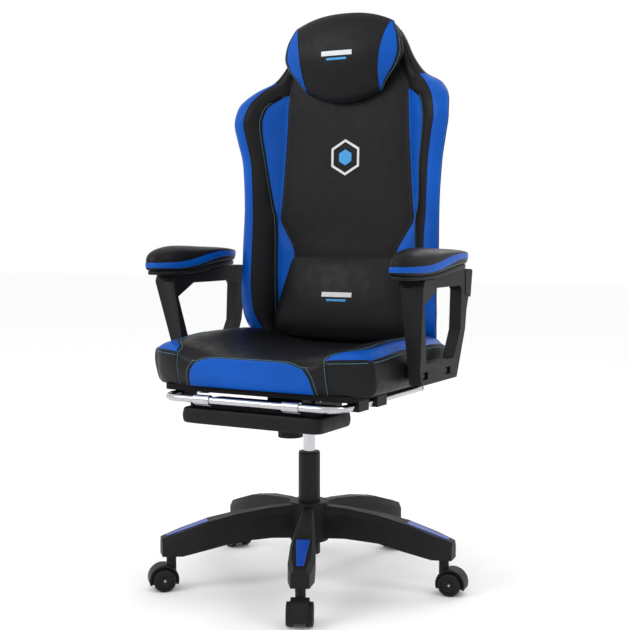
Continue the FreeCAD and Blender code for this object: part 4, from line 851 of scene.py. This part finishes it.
def seat_profile(x_at):
    """One slice as points, where x_at(y, z, on_top) says how far to the side each point is."""
    points = []
    ride_y = float(front_line(x_at(SEAT_FRONT, FACE_AT, False)))
    crest = float(panel_top(x_at(SEAT_FRONT, CREST_OVER, False)))
    for t in np.linspace(0, 1, FACE_POINTS):
        z = SEAT_FOOT + t * (crest - SEAT_FOOT)
        x = x_at(SEAT_FRONT, z, False)
        y = float(front_line(x)) + FOOT_TUCK * (1 - t) ** 2.2 + LIP_EASE * t**4
        points.append((x, y, z))
    for t in np.linspace(0, 1, ROLL_POINTS + 1)[1:]:
        y = ride_y + LIP_EASE + ROLL_REACH * t**1.6
        x = x_at(y, SEAT_TOP, True) * t + x_at(SEAT_FRONT, ROLL_OVER, False) * (1 - t)
        top = seat_height(x, ride_y + ROLL_REACH)
        z = crest + (top - crest) * math.sin(t * math.pi / 2)
        points.append((x, y, z))
    for t in np.linspace(0, 1, TOP_POINTS + 1)[1:]:
        y = ride_y + ROLL_REACH + t * (SEAT_BACK - REAR_ROLL - ride_y - ROLL_REACH)
        x = x_at(y, SEAT_TOP, True)
        points.append((x, y, seat_height(x, y)))
    x = x_at(SEAT_BACK, SEAT_TOP, True)
    rear_top = seat_height(x, SEAT_BACK)
    for t in np.linspace(0, 1, REAR_POINTS + 1)[1:]:
        y = SEAT_BACK - REAR_ROLL + REAR_ROLL * math.sin(t * math.pi / 2) ** 0.6
        z = rear_top + (SEAT_FOOT - rear_top) * t**1.5
        points.append((x, y, z))
    return points


def seat_height(x, y):
    """The top of the foam: dished in the middle, full at the bolsters, eased at the front."""
    eased = min(1.0, max(0.0, (y - SEAT_FRONT) / 0.10))
    middle = SEAT_TOP - DISH_DEPTH + FRONT_FILL * (1 - eased)
    rise = float(rearward_rise(y)) * float(bolster_share(abs(x)))
    return middle + float(dish(abs(x))) * (0.62 + 0.38 * eased) + rise


def seat_row_rules():
    """For each slice of the right half: its rule for x."""
    rules = []

    def blended(inner, outer, t):
        return lambda y, z, on_top: inner(y, z, on_top) * (1 - t) + outer(y, z, on_top) * t

    def middle(y, z, on_top):
        return 0.0

    def panel(y, z, on_top):
        return PANEL_TOP_OUT if on_top else float(panel_side(z))

    def seam(y, z, on_top):
        return float(leaf_inner(y)) if on_top else SEAT_SEAM

    def leaf(y, z, on_top):
        return float(leaf_outer(y)) if on_top else LEAF_FRONT_OUT

    def side(y, z, on_top):
        return SIDE_OUT
    for first, second, count in ((middle, panel, PANEL_ROWS), (panel, seam, FLANK_ROWS),
                                 (seam, leaf, LEAF_ROWS), (leaf, side, EDGE_ROWS)):
        rules += [blended(first, second, t) for t in np.arange(count) / count]
    rules.append(side)
    return rules


def seat_ring(points):
    """Closes a slice along the underside, point for point under the top."""
    points = np.array(points)
    foot_y = np.linspace(points[0, 1] + 0.004, points[-1, 1] - 0.004, len(points))
    under = np.stack([points[:, 0], foot_y, np.full(len(points), SEAT_FOOT - 0.001)], axis=1)
    return np.concatenate([points, under[::-1]])


right_slices = [seat_ring(seat_profile(rule)) for rule in seat_row_rules()]
wall_start = right_slices[-1]
foam_middle = (SEAT_FOOT + SEAT_TOP) / 2
for out, draw_in, back_off in ((0.2680, 0.93, 0.002), (0.2725, 0.74, 0.006), (0.2748, 0.50, 0.010),
                               (0.2755, 0.27, 0.013), (0.2755, 0.08, 0.014)):
    ring = wall_start.copy()
    ring[:, 0] = out
    ring[:, 2] = foam_middle + (ring[:, 2] - foam_middle) * draw_in
    centre_y = (SEAT_FRONT + SEAT_BACK) / 2
    reach = (SEAT_BACK - SEAT_FRONT) / 2
    ring[:, 1] = centre_y + (ring[:, 1] - centre_y) * (1 - back_off / reach)
    right_slices.append(ring)
left_slices = [ring * (-1, 1, 1) for ring in right_slices[1:]][::-1]
seat_rings = np.array(left_slices + right_slices)
SEAT_MIDDLE_ROW = len(left_slices)


def seat_finish(row, column):
    out = row - SEAT_MIDDLE_ROW if row >= SEAT_MIDDLE_ROW else SEAT_MIDDLE_ROW - 1 - row
    if out < PANEL_ROWS and column < FACE_POINTS - 1:
        return 1
    corner_from = PANEL_ROWS + FLANK_ROWS
    corner_to = corner_from + LEAF_ROWS + EDGE_ROWS + BLUE_WALL_ROWS
    above_crest = FACE_POINTS - 1 <= column < FACE_POINTS + ROLL_POINTS + TOP_POINTS
    return int(corner_from <= out < corner_to and above_crest)


seat = stack_of_rings("seat_cover", seat_rings, [black_cover, blue_cover], seat_finish)
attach(seat, "seat")
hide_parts("seat_cushion")
print("seat net:", seat_rings.shape)

# %% [markdown]
# The footrest pad is a small boxed cushion that hangs under the rails on its board. The arm pads
# are soft mouldings: a black top over a blue band that dips at the front and rises towards the
# rear. Both are built as level rings, from the underside up, and closed along the top.

# %% Footrest pad
def squared_ring(low, high, roundness, count):
    """A level ring round a rectangle with soft corners, starting at the front middle: the right
    side from front to rear, then the left side back again."""
    angles = (np.arange(count) + 0.5) / count * math.pi
    x = np.abs(np.sin(angles)) ** (2 / roundness)
    y = -np.sign(np.cos(angles)) * np.abs(np.cos(angles)) ** (2 / roundness)
    middle_x, middle_y = (low[0] + high[0]) / 2, (low[1] + high[1]) / 2
    half_x, half_y = (high[0] - low[0]) / 2, (high[1] - low[1]) / 2
    right = np.stack([middle_x + half_x * x, middle_y + half_y * y], axis=1)
    left = np.stack([middle_x - half_x * x, middle_y + half_y * y], axis=1)[::-1]
    return np.concatenate([right, left])


pad_low, pad_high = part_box("footrest_pad")
pad_rings = []
for t, draw_in in ((0.0, 0.060), (0.0, 0.030), (0.008, 0.010), (0.04, 0.002), (0.10, -0.0005),
                   (0.30, -0.002), (0.55, -0.0025), (0.78, -0.001), (0.90, 0.000), (0.96, 0.0012),
                   (0.99, 0.005), (1.0, 0.016), (1.0, 0.060)):
    ring = squared_ring((pad_low.x + draw_in, pad_low.y + draw_in * 0.95),
                        (pad_high.x - draw_in, pad_high.y - draw_in * 0.95), 14.0, 60)
    height = pad_low.z + t * (pad_high.z - pad_low.z)
    pad_rings.append([(x, y, height) for x, y in ring])
footrest_pad = stack_of_rings("footrest_pad_cover", pad_rings, [black_cover], lambda r, c: 0)
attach(footrest_pad, "footrest")
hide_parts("footrest_pad")

# %% [markdown]
# Each arm pad lies between four lines that run along it: its foot, the two edges of the blue band
# and its crown. The pad's shallow tray follows the foot, a little inside it.

# %% Arm pads
pad_foot = through((0.0, 0.001), (0.12, 0.000), (0.35, 0.003), (0.60, 0.012), (0.80, 0.017),
                   (1.0, 0.018))
band_low = through((0.0, 0.008), (0.20, 0.006), (0.35, 0.010), (0.55, 0.022), (0.70, 0.030),
                   (1.0, 0.031))
band_high = through((0.0, 0.020), (0.20, 0.022), (0.35, 0.028), (0.55, 0.040), (0.70, 0.0445),
                    (1.0, 0.041))
pad_crown = through((0.0, 0.040), (0.10, 0.050), (0.30, 0.057), (0.55, 0.0545), (0.80, 0.051),
                    (1.0, 0.045))
# Each row lies at a level between the four lines, counted from 0 to 3, and is drawn in.
ARM_ROWS = ((0.0, 0.030), (0.0, 0.014), (0.12, 0.006), (0.50, 0.0022), (0.90, 0.0010),
            (1.00, 0.0018), (1.12, 0.0004), (1.50, -0.0006), (1.88, 0.0004), (2.00, 0.0020),
            (2.10, 0.0010), (2.35, 0.0018), (2.58, 0.0045), (2.78, 0.0105), (2.92, 0.0195),
            (3.00, 0.0300), (3.02, 0.0400))
TRAY_ROWS = ((-0.0085, 0.020), (-0.0085, 0.008), (-0.0070, 0.0065), (0.0, 0.006), (0.0005, 0.012))
BLUE_FROM, BLUE_TO = 5, 9
PAD_NOSE = 0.006
ARM_ROUND, ARM_POINTS = 2.6, 44


def arm_ring(low, high, draw_in, height_of):
    """A ring of the arm pad's plan, drawn in, at a height that changes along the pad."""
    ring = squared_ring((low.x + draw_in, low.y + draw_in + PAD_NOSE),
                        (high.x - draw_in, high.y - draw_in - PAD_NOSE), ARM_ROUND, ARM_POINTS)
    along = (ring[:, 1] - low.y) / (high.y - low.y)
    return [(x, y, low.z + h) for (x, y), h in zip(ring, height_of(along))]


def at_level(level):
    """A height between the four lines of the pad, by its level."""
    lines = (pad_foot, band_low, band_high, pad_crown)
    step = min(int(level), 2)
    return lambda along: (lines[step](along)
                          + (level - step) * (lines[step + 1](along) - lines[step](along)))


for side in ("left", "right"):
    node = "arm_pad_" + side
    low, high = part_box(node)
    pad_net = np.array([arm_ring(low, high, draw_in, at_level(level))
                        for level, draw_in in ARM_ROWS])
    arm_pad = stack_of_rings(node + "_cover", pad_net, [black_cover, blue_cover],
                             lambda row, column: int(BLUE_FROM <= row < BLUE_TO))
    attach(arm_pad, "seat")
    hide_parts(node)
    tray_rings = [arm_ring(low, high, draw_in, lambda along, h=h: pad_foot(along) + h)
                  for h, draw_in in TRAY_ROWS]
    tray = stack_of_rings("arm_tray_" + side, tray_rings, [nylon], lambda row, column: 0, 0)
    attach(tray, "seat")
    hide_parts("arm_pad_trays")
    arm_skin = surface_of(arm_pad)
    around = np.linspace(0, 2 * ARM_POINTS - 1, 180)
    sew("arm_pad_stitches_" + side,
        [sewn_line(arm_skin, pad_net, BLUE_FROM + 0.6, around)], "seat",
        blue_thread, pitch=0.0040, length=0.0028, radius=0.0005)
    piping("arm_pad_piping_" + side,
           [sewn_line(arm_skin, pad_net, row, around, 0.0) for row in (BLUE_FROM, BLUE_TO)], 0.0009,
           black_cover, "seat")
print("arm pads and footrest pad made")

# %% [markdown]
# Now the seams are sewn. A line is read off a cushion's own net, a little to one side of the seam,
# and laid on the finished surface, so the stitches follow the swelling of the foam.

# %% Where the seams of the backrest lie
def rows_between(low, high):
    """The backrest's rows from one height to another."""
    return np.array([row for row in range(BACK_ROWS) if low <= heights[row] <= high], float)


BAND_AT = MIDDLE_COLUMNS + BLUE_COLUMNS
STRIPE_AT = BAND_AT + BAND_COLUMNS
EDGE_AT = STRIPE_AT + STRIPE_COLUMNS

# %% [markdown]
# The backrest has teal stitches beside its black band, blue ones along the edge, dark ones where
# black meets black, and a thin cord in each seam between two colours.

# %% Stitches and piping of the backrest
back_skin = surface_of(backrest)


def back_lines(offset, low, high, lift=THREAD_LIFT):
    """The same line on both sides of the backrest, offset columns from its middle."""
    rows = rows_between(low, high)
    return [sewn_line(back_skin, back_rings, rows, FRONT_MIDDLE + side * offset, lift)
            for side in (-1, 1)]


sew("back_band_stitches", back_lines(BAND_AT + 0.75, 0.56, 1.118), "backrest",
    seat_thread)
sew("back_edge_stitches", back_lines(EDGE_AT - 0.7, 0.54, 1.150), "backrest",
    blue_thread)
sew("back_middle_stitches", back_lines(MIDDLE_COLUMNS - 0.45, 0.76, 1.25),
    "backrest", dark_thread)
sew("back_head_stitches", back_lines(STRIPE_AT + 1.4, 1.165, 1.286), "backrest",
    dark_thread)
piping("back_piping", back_lines(BAND_AT, 0.53, 1.26, 0.0) + back_lines(STRIPE_AT, 0.54, 1.26, 0.0)
       + back_lines(EDGE_AT, 0.54, 1.27, 0.0), 0.0011, black_cover, "backrest")

# %% [markdown]
# The two small cushions have fewer seams: one row of stitches along the lumbar cushion's top, and
# stitches and cords along the pillow's blue leaves.

# %% Stitches of the lumbar cushion and the head pillow
lumbar_skin = surface_of(lumbar)
LUMBAR_TOP_ROW = 41.2
lumbar_columns = np.linspace(BOXING / 2 + 0.6, BOXING / 2 + 33.4, 60)
sew("lumbar_stitches",
    [sewn_line(lumbar_skin, lumbar_rings, LUMBAR_TOP_ROW, lumbar_columns)],
    "backrest", dark_thread, pitch=0.0042, length=0.0028)
pillow_skin = surface_of(pillow)
pillow_rows = np.arange(3, 43, 1.0)
PILLOW_FIRST = BOXING // 2
PILLOW_LAST = PILLOW_FIRST + PILLOW_COLUMNS - 1
sew("pillow_stitches",
    [sewn_line(pillow_skin, pillow_rings, pillow_rows, column)
     for column in (PILLOW_FIRST - 0.7, PILLOW_LAST + 0.7)],
    "backrest", seat_thread)
piping("pillow_piping",
       [sewn_line(pillow_skin, pillow_rings, pillow_rows, column, 0.0)
        for column in (PILLOW_FIRST, PILLOW_FIRST + LEAF_COLUMNS - 1,
                       PILLOW_LAST - LEAF_COLUMNS + 1, PILLOW_LAST)],
       0.0009, black_cover, "backrest")

# %% [markdown]
# On the seat, stitches frame the blue front panel, stand upright beside it and follow the blue
# corner pieces, on the top along the inner edge and on the side just under the outer edge.

# %% Stitches of the seat
seat_skin = surface_of(seat)
PANEL_AT = PANEL_ROWS
SEAM_AT = PANEL_ROWS + FLANK_ROWS
LEAF_AT = SEAM_AT + LEAF_ROWS


def seat_line(outs, columns, lift=THREAD_LIFT):
    """The same line on both sides of the seat."""
    outs = np.asarray(outs)
    return [sewn_line(seat_skin, seat_rings, SEAT_MIDDLE_ROW + side * outs, columns, lift)
            for side in (-1, 1)]


face_columns = np.linspace(0.6, FACE_POINTS - 0.4, 16)
across = np.linspace(-PANEL_AT - 0.8, PANEL_AT + 0.8, 50)
panel_arch = sewn_line(seat_skin, seat_rings, SEAT_MIDDLE_ROW + across, FACE_POINTS - 0.4)
top_columns = np.linspace(FACE_POINTS, FACE_POINTS + ROLL_POINTS + TOP_POINTS - 0.5, 50)
SIDE_AT = LEAF_AT + EDGE_ROWS
WALL_SEAM_AT = SIDE_AT + BLUE_WALL_ROWS
CREST_AT = FACE_POINTS - 1


def corner_line(below, lift=THREAD_LIFT):
    """Round a front corner and back along the side, under the blue by a part of a net step."""
    out, crest = WALL_SEAM_AT + below, CREST_AT - below
    outs = np.concatenate([np.linspace(SEAM_AT + 0.2, SIDE_AT - 0.6, 30), np.full(50, out)])
    columns = np.concatenate([np.full(30, crest), np.linspace(CREST_AT + 1, top_columns[-1], 50)])
    return seat_line(outs, columns, lift)


sew("seat_panel_stitches", seat_line(PANEL_AT + 0.8, face_columns) + [panel_arch],
    "seat", seat_thread)
sew("seat_seam_stitches",
    seat_line(SEAM_AT - 0.35, np.linspace(0.6, FACE_POINTS - 1.2, 16))
    + seat_line(SEAM_AT - 0.45, top_columns) + corner_line(0.8),
    "seat", seat_thread)
piping("seat_piping",
       seat_line(SEAM_AT, top_columns, 0.0) + corner_line(0.0, 0.0)
       + seat_line(SEAM_AT, np.linspace(0.3, FACE_POINTS - 1, 20), 0.0), 0.0010, black_cover,
       "seat")

# %% [markdown]
# The backrest carries an embroidered badge and each small cushion a plain woven mark. They are
# simple shapes of their own: a hexagon ring with a small hexagon inside, and a pair of short bars.
# Each is a flat shape laid on the cover and given a thread's thickness.

# %% Embroidered marks
MARK_THICKNESS = 0.0009
MARK_LIFT = 0.0006


def embroidered(name, outlines, surface, finish, body):
    """Flat closed outlines (x, z), or rings as pairs of them, laid on a cover facing -Y."""
    points, faces = [], []
    for outer, inner in outlines:
        first, count = len(points), len(outer)
        points += list(outer) + list(inner)
        for i in range(count):
            j = (i + 1) % count
            faces.append((first + i, first + j, first + count + j, first + count + i))
    mesh = bpy.data.meshes.new(name)
    placed = []
    for x, z in points:
        place, normal, _, _ = surface.ray_cast(Vector((x, -1.0, z)), Vector((0, 1, 0)))
        placed.append(place + normal * MARK_LIFT)
    mesh.from_pydata(placed, [], faces)
    mesh.materials.append(finish)
    piece = put(name, mesh)
    face_outward(mesh)
    if mesh.polygons[0].normal.y > 0:
        mesh.flip_normals()
    body_of_thread = piece.modifiers.new("thread thickness", "SOLIDIFY")
    body_of_thread.thickness = MARK_THICKNESS
    body_of_thread.offset = 1.0
    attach(piece, body)
    return piece


def hexagon(centre_x, centre_z, reach, steps=6):
    """Points along a hexagon that stands on a corner, steps to a side."""
    corners = [(centre_x + reach * math.sin(k * math.pi / 3),
                centre_z + reach * math.cos(k * math.pi / 3)) for k in range(6)]
    points = []
    for start, end in zip(corners, corners[1:] + corners[:1]):
        points += [(start[0] + (end[0] - start[0]) * t / steps,
                    start[1] + (end[1] - start[1]) * t / steps) for t in range(steps)]
    return points


def bar(left, right, low, high, steps=12):
    """A straight bar as a closed outline and its middle line, paired like the edges of a ring."""
    xs = list(np.linspace(left, right, steps))
    outline = [(x, low) for x in xs] + [(x, high) for x in xs[::-1]]
    middle = [(x * 0.98, (low + high) / 2) for x in xs + xs[::-1]]
    return outline, middle


BADGE_HEIGHT = 0.975
embroidered("back_badge_ring",
            [(hexagon(0, BADGE_HEIGHT, 0.043), hexagon(0, BADGE_HEIGHT, 0.0365))],
            back_skin, white_thread, "backrest")
embroidered("back_badge_middle",
            [(hexagon(0, BADGE_HEIGHT, 0.019), hexagon(0, BADGE_HEIGHT, 0.0005))],
            back_skin, sky_thread, "backrest")


# %% [markdown]
# The small cushions carry the plainer mark, one broad bar over one narrow bar.

# %% Bars on the small cushions
def woven_bars(name, surface, height):
    """A broad white bar over a narrow light-blue one."""
    for part, half, low, high, finish in (
            ("broad", 0.040, height + 0.004, height + 0.015, white_thread),
            ("narrow", 0.026, height - 0.006, height - 0.001, sky_thread)):
        embroidered(name + "_" + part, [bar(-half, half, low, high)], surface, finish, "backrest")


woven_bars("pillow_mark", pillow_skin, 1.205)
woven_bars("lumbar_mark", lumbar_skin, 0.640)
print("marks made")
